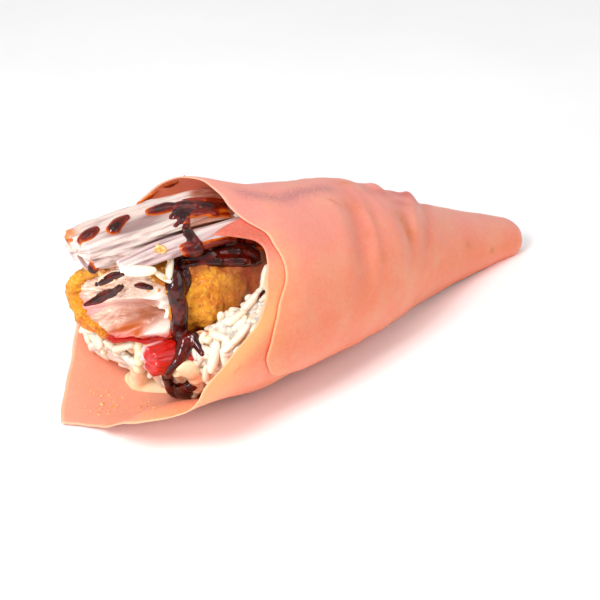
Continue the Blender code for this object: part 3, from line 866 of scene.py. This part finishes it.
def fibrous_bar(name, route, material, around, rows, power, grooves, depth, seed,
                blunt=0.35, ragged=0.8):
    """A bar of pulled fibres: grooves run along it and its front end is uneven."""
    grid, d, a = bar_points(route, around, rows, power, blunt)
    centre = grid.mean(1, keepdims=True)
    out = grid - centre
    size = np.linalg.norm(out, axis=2, keepdims=True)
    out = out / size
    local = np.stack([np.broadcast_to(np.cos(a) * grooves, (rows, around)),
                      np.broadcast_to(np.sin(a) * grooves, (rows, around)),
                      np.broadcast_to((d * 0.035)[:, None], (rows, around))], -1)
    flat = local.reshape(-1, 3)
    cuts = -np.abs(wobble(flat, 1.0, seed)) ** 0.55 * 1.2 + 0.35
    cuts += 0.4 * wobble(flat, 0.45, seed + 3.0)
    grid = grid + out * (cuts.reshape(rows, around) * depth)[..., None]
    first = smooth((d - (route[0][0] - 5.0)) / 5.0)[:, None]
    grid[..., 0] += (wobble(flat, 0.8, seed + 7.0) * ragged).reshape(rows, around) * first
    piece = closed_bar(name, grid, material)
    # Painted shade for the grooves, strongest where the cuts go deepest.
    low = np.append(smooth((-cuts - 0.12) / 0.5) * 0.8, (0.0, 0.0))
    set_attribute(piece, "painted_groove_shade", low)
    return piece


def build_crab_sticks(top_material, strip_material):
    top = fibrous_bar("pulled_crab", TOP_STICK, top_material, 170, 130, 3.0, 1.7, 1.5, 2.0,
                      0.18, 1.6)
    p = points_of(top)
    browned = smooth((p[:, 2] - 43.6) / 2.0) * smooth((-61.0 - p[:, 0]) / 3.0)
    browned *= smooth((p[:, 1] - 8.0) / 3.0)
    set_attribute(top, "browned", np.clip(browned, 0, 1))
    right, high = view_axes()[:2]
    level = (p - np.array(AIM)) @ np.array(high)
    side = (p - np.array(AIM)) @ np.array(right)
    sauced = smooth((side + 27.5) / 4.0) * smooth((level - 12.0) / 3.0)
    set_attribute(top, "sauced", 0.75 * sauced)
    strip = fibrous_bar("crab_ribbon", STRIP, strip_material, 80, 90, 2.4, 1.6, 0.55, 5.0)
    set_attribute(strip, "browned", np.zeros(len(strip.data.vertices)))
    set_attribute(strip, "sauced", np.zeros(len(strip.data.vertices)))
    return top, strip


def build_red_stick(material):
    red = fibrous_bar("red_stick", RED_STICK, material, 90, 90, 2.4, 1.8, 0.45, 9.0, 0.3)
    p = points_of(red)
    pale = smooth((p[:, 1] + 7.4) / 0.9) * smooth((-50.0 - p[:, 0]) / 6.0)
    set_attribute(red, "core", np.clip(pale, 0, 1))
    return red


# --- rice -----------------------------------------------------------------------------

def build_rice_core(material):
    """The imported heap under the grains, a little smaller than the heap itself."""
    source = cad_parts["rice"]
    mesh = source.data.copy()
    mesh.transform(source.matrix_world)
    core = bpy.data.objects.new("rice_core", mesh)
    bpy.context.collection.objects.link(core)
    bm = bmesh.new()
    bm.from_mesh(mesh)
    bmesh.ops.remove_doubles(bm, verts=bm.verts, dist=0.00001)
    bm.to_mesh(mesh)
    bm.free()
    remesh = core.modifiers.new("even", "REMESH")
    remesh.mode = "VOXEL"
    remesh.voxel_size = 0.7 * MM
    bake_modifiers(core)
    core.data.materials.clear()
    core.data.materials.append(material)
    bm = bmesh.new()
    bm.from_mesh(core.data)
    bm.normal_update()
    for vert in bm.verts:
        at = Vector(vert.co) / MM
        lumps = 0.45 * noise.noise(at / 1.9) + 0.5 * noise.noise(at / 4.0 + Vector((3, 1, 2)))
        vert.co += vert.normal * (lumps - 0.95) * MM
        foot = float(smooth((17.0 - at.z) / 15.0) * smooth((VERTEX_X - at.x - 112.0) / 30.0))
        vert.co.x += RICE_FOOT * foot * MM
        line = float(rice_line(VERTEX_X - at.x)) - 1.0
        if at.y < -7.0 and at.z > line and at.x < -22.0:
            vert.co.z -= 0.92 * (at.z - line) * MM
    bm.to_mesh(core.data)
    bm.free()
    for polygon in core.data.polygons:
        polygon.use_smooth = True
    return core


def grain_mesh(material):
    """One cooked grain along X, 7 mm long, blunter at one end than at the other."""
    around, rows = 8, 7
    points = []
    for r in range(1, rows):
        u = r / rows
        x = -3.7 * math.cos(math.pi * u)
        radius = 1.2 * math.sin(math.pi * u) ** 0.62 * (1.0 + 0.08 * math.cos(math.pi * u))
        for k in range(around):
            a = 2 * math.pi * k / around
            points.append((x, radius * math.cos(a) * 1.05,
                           radius * math.sin(a) * 0.9 + 0.10 * math.cos(u * math.pi * 2)))
    faces = tube_faces(rows - 1, around)
    count = len(points)
    points += [(-3.72, 0.0, 0.13), (3.72, 0.0, 0.08)]
    for k in range(around):
        m = (k + 1) % around
        faces.append((k, m, count))
        faces.append(((rows - 2) * around + k, (rows - 2) * around + m, count + 1))
    grain = mesh_piece("grain", points, faces, material)
    bpy.context.collection.objects.unlink(grain)
    return grain


def grain_tree(material):
    """Geometry Nodes: a grain at every point, turned and sized by its attributes."""
    tree = bpy.data.node_groups.new("lay_grains", "GeometryNodeTree")
    face = tree.interface
    face.new_socket("Geometry", in_out="INPUT", socket_type="NodeSocketGeometry")
    grain_in = face.new_socket("Grain", in_out="INPUT", socket_type="NodeSocketObject")
    size_in = face.new_socket("Grain Size", in_out="INPUT", socket_type="NodeSocketFloat")
    spread_in = face.new_socket("Size Spread", in_out="INPUT",
                                socket_type="NodeSocketFloat")
    seed_in = face.new_socket("Seed", in_out="INPUT", socket_type="NodeSocketInt")
    face.new_socket("Geometry", in_out="OUTPUT", socket_type="NodeSocketGeometry")
    nodes, link = tree.nodes, tree.links.new
    start, end = nodes.new("NodeGroupInput"), nodes.new("NodeGroupOutput")
    info = nodes.new("GeometryNodeObjectInfo")
    lie = nodes.new("GeometryNodeInputNamedAttribute")
    lie.data_type = "FLOAT_VECTOR"
    lie.inputs["Name"].default_value = "lie"
    own = nodes.new("GeometryNodeInputNamedAttribute")
    own.data_type = "FLOAT"
    own.inputs["Name"].default_value = "own_size"
    scaled = nodes.new("ShaderNodeMath")
    scaled.operation = "MULTIPLY"
    spread = nodes.new("FunctionNodeRandomValue")
    low = nodes.new("ShaderNodeMath")
    low.operation = "SUBTRACT"
    high = nodes.new("ShaderNodeMath")
    put = nodes.new("GeometryNodeInstanceOnPoints")
    real = nodes.new("GeometryNodeRealizeInstances")
    shade = nodes.new("GeometryNodeSetShadeSmooth")
    paint = nodes.new("GeometryNodeSetMaterial")
    paint.inputs["Material"].default_value = material
    link(start.outputs["Grain"], info.inputs["Object"])
    for sums in (low, high):
        link(start.outputs["Grain Size"], sums.inputs[0])
        link(start.outputs["Size Spread"], sums.inputs[1])
    link(low.outputs[0], spread.inputs[2])
    link(high.outputs[0], spread.inputs[3])
    link(start.outputs["Seed"], spread.inputs["Seed"])
    link(start.outputs["Geometry"], put.inputs["Points"])
    link(info.outputs["Geometry"], put.inputs["Instance"])
    link(lie.outputs[0], put.inputs["Rotation"])
    link(spread.outputs[1], scaled.inputs[0])
    link(own.outputs[0], scaled.inputs[1])
    link(scaled.outputs[0], put.inputs["Scale"])
    link(put.outputs["Instances"], real.inputs["Geometry"])
    link(real.outputs["Geometry"], shade.inputs["Geometry"])
    link(shade.outputs["Geometry"], paint.inputs["Geometry"])
    link(paint.outputs["Geometry"], end.inputs["Geometry"])
    return tree, grain_in, size_in, spread_in, seed_in


def lay_grains(name, places, turns, grain, material, size=1.0, spread=0.12, seed=3,
               sizes=None):
    mesh = bpy.data.meshes.new(name)
    mesh.from_pydata([tuple(np.asarray(p) * MM) for p in places], [], [])
    lie = mesh.attributes.new("lie", "FLOAT_VECTOR", "POINT")
    lie.data.foreach_set("vector", np.asarray(turns, np.float32).reshape(-1))
    own = mesh.attributes.new("own_size", "FLOAT", "POINT")
    own.data.foreach_set("value", np.asarray(sizes or [1.0] * len(places), np.float32))
    obj = bpy.data.objects.new(name, mesh)
    bpy.context.collection.objects.link(obj)
    tree, grain_in, size_in, spread_in, seed_in = grain_tree(material)
    mod = obj.modifiers.new("grains", "NODES")
    mod.node_group = tree
    mod[grain_in.identifier] = grain
    mod[size_in.identifier] = size
    mod[spread_in.identifier] = spread
    mod[seed_in.identifier] = seed
    return bake_modifiers(obj)


def grain_lie(normal, spin, tilt):
    """Euler turn that lays a grain flat on a face with this normal."""
    normal = Vector(normal).normalized()
    side = normal.orthogonal().normalized()
    run = Matrix.Rotation(spin, 3, normal) @ side
    run = (run + normal * tilt).normalized()
    up = (normal - run * normal.dot(run)).normalized()
    return Matrix((run, up.cross(run), up)).transposed().to_euler()


# Where other food shows between the grains: across and up in the view, and radius
CLEARINGS = (
    (-28.2, -10.4, 2.2), (-25.0, -8.6, 2.0), (-22.6, -7.4, 1.2), (-29.5, -12.5, 2.0),
    (-41.0, -13.5, 2.2), (-40.0, -19.5, 3.4), (-28.5, -18.5, 3.0),
)


def seen_from_mouth(point):
    """Millimetres across and up at which the camera sees a point."""
    right, high, back = view_axes()
    away = Vector(point) - AIM
    scale = VIEW_REACH / (VIEW_REACH - away.dot(back))
    return away.dot(right) * scale, away.dot(high) * scale


def build_grains(core, fillings, grain, material):
    """Grains all over the open face of the heap, clear of the paper."""
    random.seed(41)
    solid = bvh_of(fillings)
    places, turns = [], []
    mesh = core.data
    centres = np.empty(len(mesh.polygons) * 3, np.float32)
    mesh.polygons.foreach_get("center", centres)
    centres = centres.reshape(-1, 3) / MM
    normals = np.empty(len(mesh.polygons) * 3, np.float32)
    mesh.polygons.foreach_get("normal", normals)
    normals = normals.reshape(-1, 3)
    areas = np.empty(len(mesh.polygons), np.float32)
    mesh.polygons.foreach_get("area", areas)
    gap = wall_gap(centres)
    open_face = (centres[:, 0] < -24.0) & (normals[:, 0] < 0.15)
    open_face &= (gap > 1.0) | (normals[:, 0] < -0.55)
    weights = np.where(open_face, areas, 0.0).tolist()
    picks = random.choices(range(len(weights)), weights=weights, k=2600)
    for pick in picks:
        centre, normal = Vector(centres[pick].tolist()), Vector(normals[pick].tolist())
        near = [(Vector(p) - centre).length for p in places]
        if near and (min(near) < 1.25 or sum(1 for n in near if n < 2.1) > 2):
            continue
        for _ in range(6):
            lift = random.uniform(0.2, 1.5)
            at = centre + normal * lift
            euler = grain_lie(normal, random.uniform(0, math.pi), random.uniform(-0.3, 0.45))
            run = euler.to_matrix() @ Vector((1, 0, 0))
            ends = [at + run * 3.0, at - run * 3.0, at + run * 1.5, at - run * 1.5, at]
            if wall_gap(np.array([list(e) for e in ends])).min() < 1.45:
                continue
            if any(inside(solid, e, 0.5) for e in ends):
                continue
            if at.y < -7.0 and at.z > float(rice_line(VERTEX_X - at.x)) - 0.3:
                continue
            if any(math.hypot(seen_from_mouth(at)[0] - c[0], seen_from_mouth(at)[1] - c[1])
                   < c[2] for c in CLEARINGS):
                continue
            places.append(tuple(at))
            turns.append(tuple(euler))
            break
    return lay_grains("rice_grains", places, turns, grain, material, 0.87, 0.14)


# Grains that stand out: across, up, slope in the view in degrees, size, lift to the camera
LOOSE_GRAINS = (
    (-9.6, 5.4, 84.0, 1.0, 0.0), (-24.8, -10.2, 62.0, 0.8, 0.0),
    (-21.4, -14.4, 66.0, 1.05, 0.2), (-18.6, -15.4, -80.0, 1.0, 0.0),
    (-23.6, -18.2, 70.0, 0.8, 0.0), (-16.2, -4.6, 35.0, 0.9, 0.0),
    (-12.4, -1.0, 60.0, 0.95, 0.0), (-19.6, -9.6, -20.0, 0.85, 0.0),
    (-14.6, -9.0, 75.0, 0.95, 0.2), (-17.0, -11.5, 50.0, 0.9, 0.3),
    (-46.4, 5.8, 14.0, 1.15, 6.4), (-40.4, 6.9, -4.0, 1.2, 6.4),
    (-33.4, 7.8, 66.0, 0.85, 1.6), (-34.8, 5.4, -35.0, 0.6, 1.2),
)


def build_loose_grains(tree, grain, material):
    right, high, back = view_axes()
    places, turns, sizes = [], [], []
    for across, up, slope, size, lift in LOOSE_GRAINS:
        hit, normal = pour(tree, across, up)
        if hit is None:
            continue
        a = math.radians(slope)
        run = right * math.cos(a) + high * math.sin(a)
        run = (run - normal * run.dot(normal) * 0.8).normalized()
        up_axis = (normal - run * normal.dot(run)).normalized()
        turn = Matrix((run, up_axis.cross(run), up_axis)).transposed().to_euler()
        places.append(tuple(hit + up_axis * 0.6 + back * lift))
        sizes.append(size)
        turns.append(tuple(turn))
    return lay_grains("loose_grains", places, turns, grain, material, 0.95, 0.1, 9, sizes)


def inside(tree, point, margin):
    """Whether a point lies deeper than margin inside the solids of a search tree."""
    hit, normal, _, reach = tree.find_nearest(point)
    if hit is None:
        return False
    return (point - hit).dot(normal) < 0.0 and reach > margin


# --- sauces ---------------------------------------------------------------------------

VIEW_AZIMUTH, VIEW_RISE, VIEW_REACH = -40.0, 30.0, 550.0
LENS, SENSOR = 130.0, 36.0
AIM = Vector((VERTEX_X - 80.46, VERTEX_Y + 17.44, 0.0))


def view_axes():
    a, e = math.radians(VIEW_AZIMUTH), math.radians(VIEW_RISE)
    back = Vector((math.sin(a) * math.cos(e), -math.cos(a) * math.cos(e), math.sin(e)))
    right = Vector((math.cos(a), math.sin(a), 0.0))
    return right, back.cross(right), back


def pour(tree, across, up):
    """Where a drop sent from the camera lands: places are millimetres across and up
    from the middle of its view, on the plane through AIM."""
    right, high, back = view_axes()
    eye = AIM + back * VIEW_REACH
    target = AIM + right * across + high * up
    hit, normal, _, _ = tree.ray_cast(eye, (target - eye).normalized())
    return hit, normal


def spline(stops, step):
    """Points along a smooth curve through the stops, every step millimetres."""
    stops = [np.array(s, float) for s in stops]
    if len(stops) == 1:
        return [stops[0]]
    padded = [2 * stops[0] - stops[1], *stops, 2 * stops[-1] - stops[-2]]
    out = []
    for i in range(1, len(padded) - 2):
        a, b, c, d = padded[i - 1:i + 3]
        count = max(2, int(np.linalg.norm((c - b)[:2]) / step))
        for k in range(count):
            t = k / count
            out.append(0.5 * (2 * b + (c - a) * t + (2 * a - 5 * b + 4 * c - d) * t * t
                              + (3 * b - a - 3 * c + d) * t ** 3))
    out.append(stops[-1])
    return out


def beads_along(tree, stops, sink=0.35, smooth_depth=5, fill=False):
    """Balls of sauce along a poured line: stops are across, up, radius."""
    back = view_axes()[2]
    found = []
    for across, up, radius in spline(stops, 0.35):
        hit = pour(tree, across, up)[0]
        if hit is not None:
            found.append((hit, radius))
    if not found:
        return []
    depth = np.array([(p - AIM).dot(back) for p, _ in found])
    if len(depth) > 3 and smooth_depth:
        reach = min(smooth_depth, len(depth))
        padded = np.pad(depth, reach, mode="edge")
        mean = np.convolve(padded, np.ones(2 * reach + 1) / (2 * reach + 1), "valid")
        eased = np.maximum(mean, depth)
    else:
        eased = depth
    beads = [(p + back * (e - d) - back * radius * sink, radius)
             for (p, radius), d, e in zip(found, depth, eased)]
    if not fill:
        return beads
    joined = beads[:1]
    for (start, r1), (end, r2) in zip(beads, beads[1:]):
        gap = (end - start).length
        steps = max(1, min(12, math.ceil(gap / (0.4 * min(r1, r2)))))
        joined += [(start.lerp(end, k / steps), r1 + (r2 - r1) * k / steps)
                   for k in range(1, steps + 1)]
    return joined


def join_balls(name, balls, voxel, material, easing=4, factor=0.5):
    """Merge overlapping balls into one smooth drop of liquid."""
    bm = bmesh.new()
    for centre, radius in balls:
        bmesh.ops.create_icosphere(bm, subdivisions=2, radius=radius * MM,
                                   matrix=Matrix.Translation(Vector(centre) * MM))
    mesh = bpy.data.meshes.new(name)
    bm.to_mesh(mesh)
    bm.free()
    obj = bpy.data.objects.new(name, mesh)
    bpy.context.collection.objects.link(obj)
    remesh = obj.modifiers.new("flow", "REMESH")
    remesh.mode = "VOXEL"
    remesh.voxel_size = voxel * MM
    ease = obj.modifiers.new("ease", "SMOOTH")
    ease.factor = factor
    ease.iterations = easing
    bake_modifiers(obj)
    obj.data.materials.clear()
    obj.data.materials.append(material)
    for polygon in obj.data.polygons:
        polygon.use_smooth = True
    return obj


# Runs of mayonnaise: across and up in the view, and radius
MAYO_LINES = (
    ((-41.0, -11.0, 1.0), (-40.8, -13.6, 1.2), (-40.8, -16.2, 1.5), (-40.8, -18.6, 2.3),
     (-40.8, -20.6, 3.0)),
    ((-42.6, -20.0, 2.0), (-40.6, -21.0, 2.8), (-38.4, -21.6, 2.6), (-36.0, -22.4, 2.0),
     (-34.0, -23.0, 1.3)),
    ((-30.8, -16.4, 1.5), (-28.6, -17.2, 2.2), (-26.8, -18.4, 2.4), (-26.2, -20.4, 2.0),
     (-26.0, -22.4, 1.4), (-27.0, -24.0, 1.1)),
    ((-31.4, -18.4, 1.3), (-29.4, -19.2, 1.9), (-27.4, -19.8, 2.0)),
)


def build_mayo(tree, paper, material):
    balls = []
    for line in MAYO_LINES:
        balls += beads_along(tree, line, sink=-0.05, smooth_depth=6, fill=True)
    mayo = join_balls("mayonnaise_blob", balls, 0.42, material, easing=10)
    keep_inside(mayo, paper)
    return mayo


def keep_inside(piece, paper):
    """Press whatever would come out through the paper back against its inner face."""
    for vert in piece.data.vertices:
        at = Vector(vert.co) / MM
        hit, normal, _, reach = paper.find_nearest(at)
        if hit is None or reach > 6.0:
            continue
        distance = VERTEX_X - hit.x
        rise = float(along(SECTIONS, distance, 2)) / 2
        middle = Vector((hit.x, VERTEX_Y + float(along(SECTIONS, distance, 3)), rise))
        if normal.dot(hit - middle) > 0.0 and (at - hit).dot(normal) > -0.12:
            vert.co = (hit - normal * 0.16) * MM


# Runs of dark sauce: across and up in the view, and radius
SAUCE_LINES = (
    # strand looping forwards
    ((-27.9, 23.0, 0.6), (-29.9, 20.9, 0.7), (-31.7, 18.6, 0.6)),
    ((-31.9, 20.8, 1.3), (-30.6, 22.0, 1.3)),
    ((-28.9, 18.2, 1.0), (-27.9, 16.0, 1.4), (-26.2, 14.2, 1.2)),
    # pool on top of the breaded stick
    ((-31.2, 9.9, 0.8), (-28.6, 10.4, 1.0), (-25.4, 11.0, 1.5), (-22.2, 11.6, 1.9),
     (-18.8, 12.2, 2.1), (-15.4, 12.4, 2.1), (-12.4, 11.6, 1.9), (-10.8, 10.2, 1.2)),
    ((-31.6, 8.6, 0.6), (-27.0, 9.0, 0.6), (-22.4, 9.8, 1.2), (-18.6, 9.8, 1.5),
     (-14.8, 9.8, 1.4), (-11.8, 9.4, 0.9)),
    # main run down the front
    ((-31.8, 9.0, 1.3), (-32.1, 6.8, 1.8), (-31.8, 4.1, 2.4), (-31.6, 1.4, 1.9),
     (-30.8, -1.4, 2.1), (-30.7, -4.1, 2.0), (-30.8, -6.8, 2.0), (-31.0, -9.2, 1.7)),
    ((-29.1, 7.0, 1.2), (-28.6, 4.6, 1.0), (-29.4, 1.8, 0.8)),
    ((-31.0, -9.0, 1.6), (-29.3, -10.7, 1.8), (-29.9, -13.0, 1.9), (-31.0, -15.3, 1.4),
     (-33.0, -17.4, 1.1), (-33.5, -19.6, 1.2), (-32.6, -22.0, 1.6), (-31.0, -22.6, 2.2),
     (-29.0, -22.4, 2.4), (-27.7, -21.6, 1.6)),
    ((-32.0, -23.6, 1.2), (-30.0, -24.2, 1.3), (-28.2, -23.8, 1.1)),
    ((-29.4, -9.6, 1.2), (-27.2, -9.3, 1.3), (-26.3, -11.2, 1.0), (-24.8, -13.7, 0.7)),
    # thin lines over the cut face
    ((-54.6, -1.2, 0.5), (-52.8, -0.6, 0.9), (-49.9, 0.9, 1.3), (-47.5, 1.9, 1.2),
     (-45.3, 3.6, 0.7)),
    ((-51.4, 3.8, 0.5), (-50.0, 4.6, 0.8), (-47.6, 6.0, 1.0), (-45.0, 6.6, 0.6)),
    ((-41.6, 3.8, 0.6), (-40.0, 3.7, 0.9), (-37.7, 3.1, 0.6)),
    ((-9.2, 2.2, 0.5), (-9.9, 1.0, 0.6), (-10.4, 0.2, 0.4)),
)


# Drops and thin sheets of the sauce that look amber, in the same terms
AMBER_LINES = (
    # drops on the pulled crab
    ((-55.5, 15.1, 1.2), (-53.8, 16.2, 1.7), (-51.7, 17.9, 0.9)),
    ((-47.7, 17.3, 1.9), (-46.4, 19.2, 1.6), (-43.9, 21.0, 0.8)),
    ((-38.6, 22.0, 1.2), (-36.2, 22.2, 1.9), (-33.8, 22.8, 2.0), (-31.4, 23.2, 1.5)),
    ((-52.7, 9.5, 0.7), (-52.5, 8.1, 1.4)),
    ((-58.9, 15.1, 0.5), (-57.8, 15.2, 0.6)),
    # beads on the far edge of the paper
    ((-41.2, 24.4, 0.5), (-38.5, 26.3, 0.8), (-36.5, 27.7, 0.5)),
    ((-34.9, 29.1, 0.6), (-33.2, 29.5, 1.0), (-31.4, 30.1, 0.6)),
    ((-30.2, 31.4, 0.4), (-29.4, 31.4, 0.4)),
    # sheet over the back of the pulled crab and under the paper's rim
    ((-30.4, 23.2, 1.9), (-26.4, 23.2, 2.0), (-22.6, 23.2, 1.8), (-19.6, 23.4, 1.4)),
    ((-29.5, 24.8, 0.9), (-26.6, 25.2, 0.9), (-22.6, 25.2, 0.9), (-19.6, 24.8, 0.9)),
    ((-28.0, 21.6, 1.2), (-23.0, 21.8, 1.2), (-18.6, 21.4, 1.0)),
    ((-28.6, 20.2, 0.8), (-28.9, 18.2, 1.1)),
    ((-29.8, 12.9, 1.4), (-27.6, 12.9, 2.1), (-26.0, 12.8, 1.6)),
    # upper edge of the pool
    ((-26.0, 13.4, 0.9), (-23.4, 14.2, 1.1), (-20.4, 15.0, 1.1), (-17.4, 15.6, 1.1),
     (-14.6, 15.6, 1.0), (-12.2, 14.8, 1.0), (-10.2, 13.2, 0.9)),
)


def build_sauce(tree, material):
    dark, amber = [], []
    for line in SAUCE_LINES:
        dark += beads_along(tree, line)
    for line in AMBER_LINES:
        amber += beads_along(tree, line, sink=0.5)
    dark = [(centre, radius * 1.06) for centre, radius in dark]
    sauce = join_balls("dark_sauce", dark + amber, 0.3, material, easing=6)
    p = points_of(sauce)
    near_amber = KDTree(len(amber))
    for k, (centre, radius) in enumerate(amber):
        near_amber.insert(centre, k)
    near_amber.balance()
    near_dark = KDTree(len(dark))
    for k, (centre, radius) in enumerate(dark):
        near_dark.insert(centre, k)
    near_dark.balance()
    thin = []
    for point in p:
        hit, normal, _, reach = tree.find_nearest(Vector(point))
        over = (Vector(point) - hit).dot(normal) > 0.0
        share = 1.0 - min(reach, 1.0) / 1.0 if over else 1.0
        if near_amber.find(point)[2] < near_dark.find(point)[2]:
            share = 1.0 - 0.75 * (1.0 - share)
        else:
            share *= 0.5
        thin.append(share)
    set_attribute(sauce, "thin", np.array(thin))
    return sauce


# --- crumbs ---------------------------------------------------------------------------

def build_crumbs(tree, material):
    """Specks of fried crumb that have dropped on the paper and stuck to the food."""
    random.seed(12)
    bm = bmesh.new()
    fields = ((-35.3, 12.7, 0.4, 0.4, 3, 1.9), (-50.0, 6.3, 0.3, 1.0, 4, 1.5),
              (-49.0, -26.0, 6.0, 3.4, 46, 0.42), (-40.0, -27.5, 4.0, 1.6, 18, 0.4),
              (-37.5, 3.5, 3.0, 3.0, 12, 0.6), (-33.5, 5.0, 2.0, 5.0, 10, 0.6),
              (-48.0, 6.0, 2.0, 2.4, 8, 0.7), (-35.0, 12.6, 2.0, 1.6, 8, 0.7))
    for across, up, wide, tall, count, size in fields:
        for _ in range(count):
            hit, normal = pour(tree, across + random.gauss(0, wide / 2),
                               up + random.gauss(0, tall / 2))
            if hit is None or hit.z < 0.2:
                continue
            spin = Matrix.Rotation(random.uniform(0, 6.28), 4, normal)
            shape = Matrix.Diagonal((random.uniform(0.5, 1.6), random.uniform(0.5, 1.2),
                                     random.uniform(0.4, 0.9), 1.0))
            grown = bmesh.ops.create_icosphere(
                bm, subdivisions=1, radius=size * random.uniform(0.35, 0.8) * MM,
                matrix=Matrix.Translation((hit + normal * 0.1) * MM) @ spin @ shape)
            for vert in grown["verts"]:
                vert.co += Vector((random.uniform(-1, 1), random.uniform(-1, 1),
                                   random.uniform(-1, 1))) * 0.06 * MM
    mesh = bpy.data.meshes.new("loose_crumbs")
    bm.to_mesh(mesh)
    bm.free()
    mesh.materials.append(material)
    obj = bpy.data.objects.new("loose_crumbs", mesh)
    bpy.context.collection.objects.link(obj)
    return obj


# --- stage ----------------------------------------------------------------------------

def build_stage():
    s = Shader("pale_floor", roughness=0.9, Specular_IOR_Level=0.0)
    s.colour(s.mix(s.ramp(s.noise(60.0), 0.3, 0.7), srgb(252, 252, 252), srgb(255, 255, 255)))
    reach = 1500.0
    low = -0.02
    floor = mesh_piece("floor", [(-reach, -reach, low), (reach, -reach, low),
                                 (reach, reach, low), (-reach, reach, low)],
                       [(0, 1, 2, 3)], s.material, smooth_shade=False)
    world = bpy.data.worlds.new("studio")
    world.use_nodes = True
    background = world.node_tree.nodes["Background"]
    background.inputs["Color"].default_value = (1.0, 1.0, 1.0, 1.0)
    background.inputs["Strength"].default_value = 0.6
    bpy.context.scene.world = world
    soft_box("key", -72.0, 46.0, 420.0, 110.0, 160.0, 1.2)
    soft_box("glint", -84.0, 16.0, 420.0, 60.0, 90.0, 0.45)
    soft_box("fill", 35.0, 35.0, 520.0, 360.0, 200.0, 0.40)
    soft_box("top", 0.0, 85.0, 480.0, 300.0, 300.0, 0.36)
    bpy.context.scene.view_settings.view_transform = "Standard"


def soft_box(name, azimuth, rise, reach, wide, tall, power):
    """An area light aimed at the mouth of the roll."""
    light = bpy.data.lights.new(name, "AREA")
    light.shape = "RECTANGLE"
    light.size, light.size_y = wide * MM, tall * MM
    light.energy = power
    obj = bpy.data.objects.new(name, light)
    bpy.context.collection.objects.link(obj)
    a, e = math.radians(azimuth), math.radians(rise)
    out = Vector((math.sin(a) * math.cos(e), -math.cos(a) * math.cos(e), math.sin(e)))
    obj.location = (Vector((-30.0, 0.0, 25.0)) + out * reach) * MM
    obj.rotation_euler = (-out).to_track_quat("-Z", "Y").to_euler()


def build_camera():
    back = view_axes()[2]
    camera = bpy.data.cameras.new("camera")
    camera.lens, camera.sensor_width = LENS, SENSOR
    camera.clip_start = 0.01
    obj = bpy.data.objects.new("camera", camera)
    bpy.context.collection.objects.link(obj)
    obj.location = (AIM + back * VIEW_REACH) * MM
    obj.rotation_euler = (-back).to_track_quat("-Z", "Y").to_euler()
    bpy.context.scene.camera = obj


def place(piece, slot, *nodes):
    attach(piece, "root")
    if nodes:
        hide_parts(*nodes)


def main():
    build_camera()
    build_stage()
    paper = build_paper(paper_material())
    rice_look = rice_material()
    core = build_rice_core(rice_core_material())
    coat, flesh = build_breaded(crust_material(), flesh_material())
    top, strip = build_crab_sticks(
        crab_material("crab_stick", srgb(224, 202, 192), srgb(166, 130, 122), (0.1, 1.0, 1.0)),
        # Painted shade: the strip takes a darker, greyer copy of the pulled crab's colours.
        crab_material("crab_strip", srgb(212, 184, 182), srgb(146, 104, 106), (0.1, 1.0, 1.0)))
    red = build_red_stick(red_material())
    grain = grain_mesh(rice_look)
    grains = build_grains(core, [coat, flesh, top, strip, red], grain, rice_look)
    solids = [paper, core, coat, flesh, top, strip, red, grains]
    loose = build_loose_grains(bvh_of(solids), grain, rice_look)
    bpy.data.objects.remove(grain)
    solids.append(loose)
    wall = bvh_of([paper])
    mayo = build_mayo(bvh_of(solids), wall, mayo_material())
    tree = bvh_of(solids + [mayo])
    sauce = build_sauce(tree, sauce_material())
    crumbs = build_crumbs(bvh_of(solids + [mayo]), crumb_material())
    place(paper, "soy_paper", "wrapper")
    place(core, "cooked_rice", "rice")
    place(grains, "cooked_rice")
    place(loose, "cooked_rice")
    place(coat, "fried_crumb", "breaded_stick")
    place(flesh, "crab_stick")
    place(top, "crab_stick", "crab_stick")
    place(strip, "crab_strip", "crab_strip")
    place(red, "red_crab_stick", "red_crab_stick")
    place(mayo, "mayonnaise", "mayonnaise")
    place(sauce, "mayonnaise")
    place(crumbs, "fried_crumb")


main()
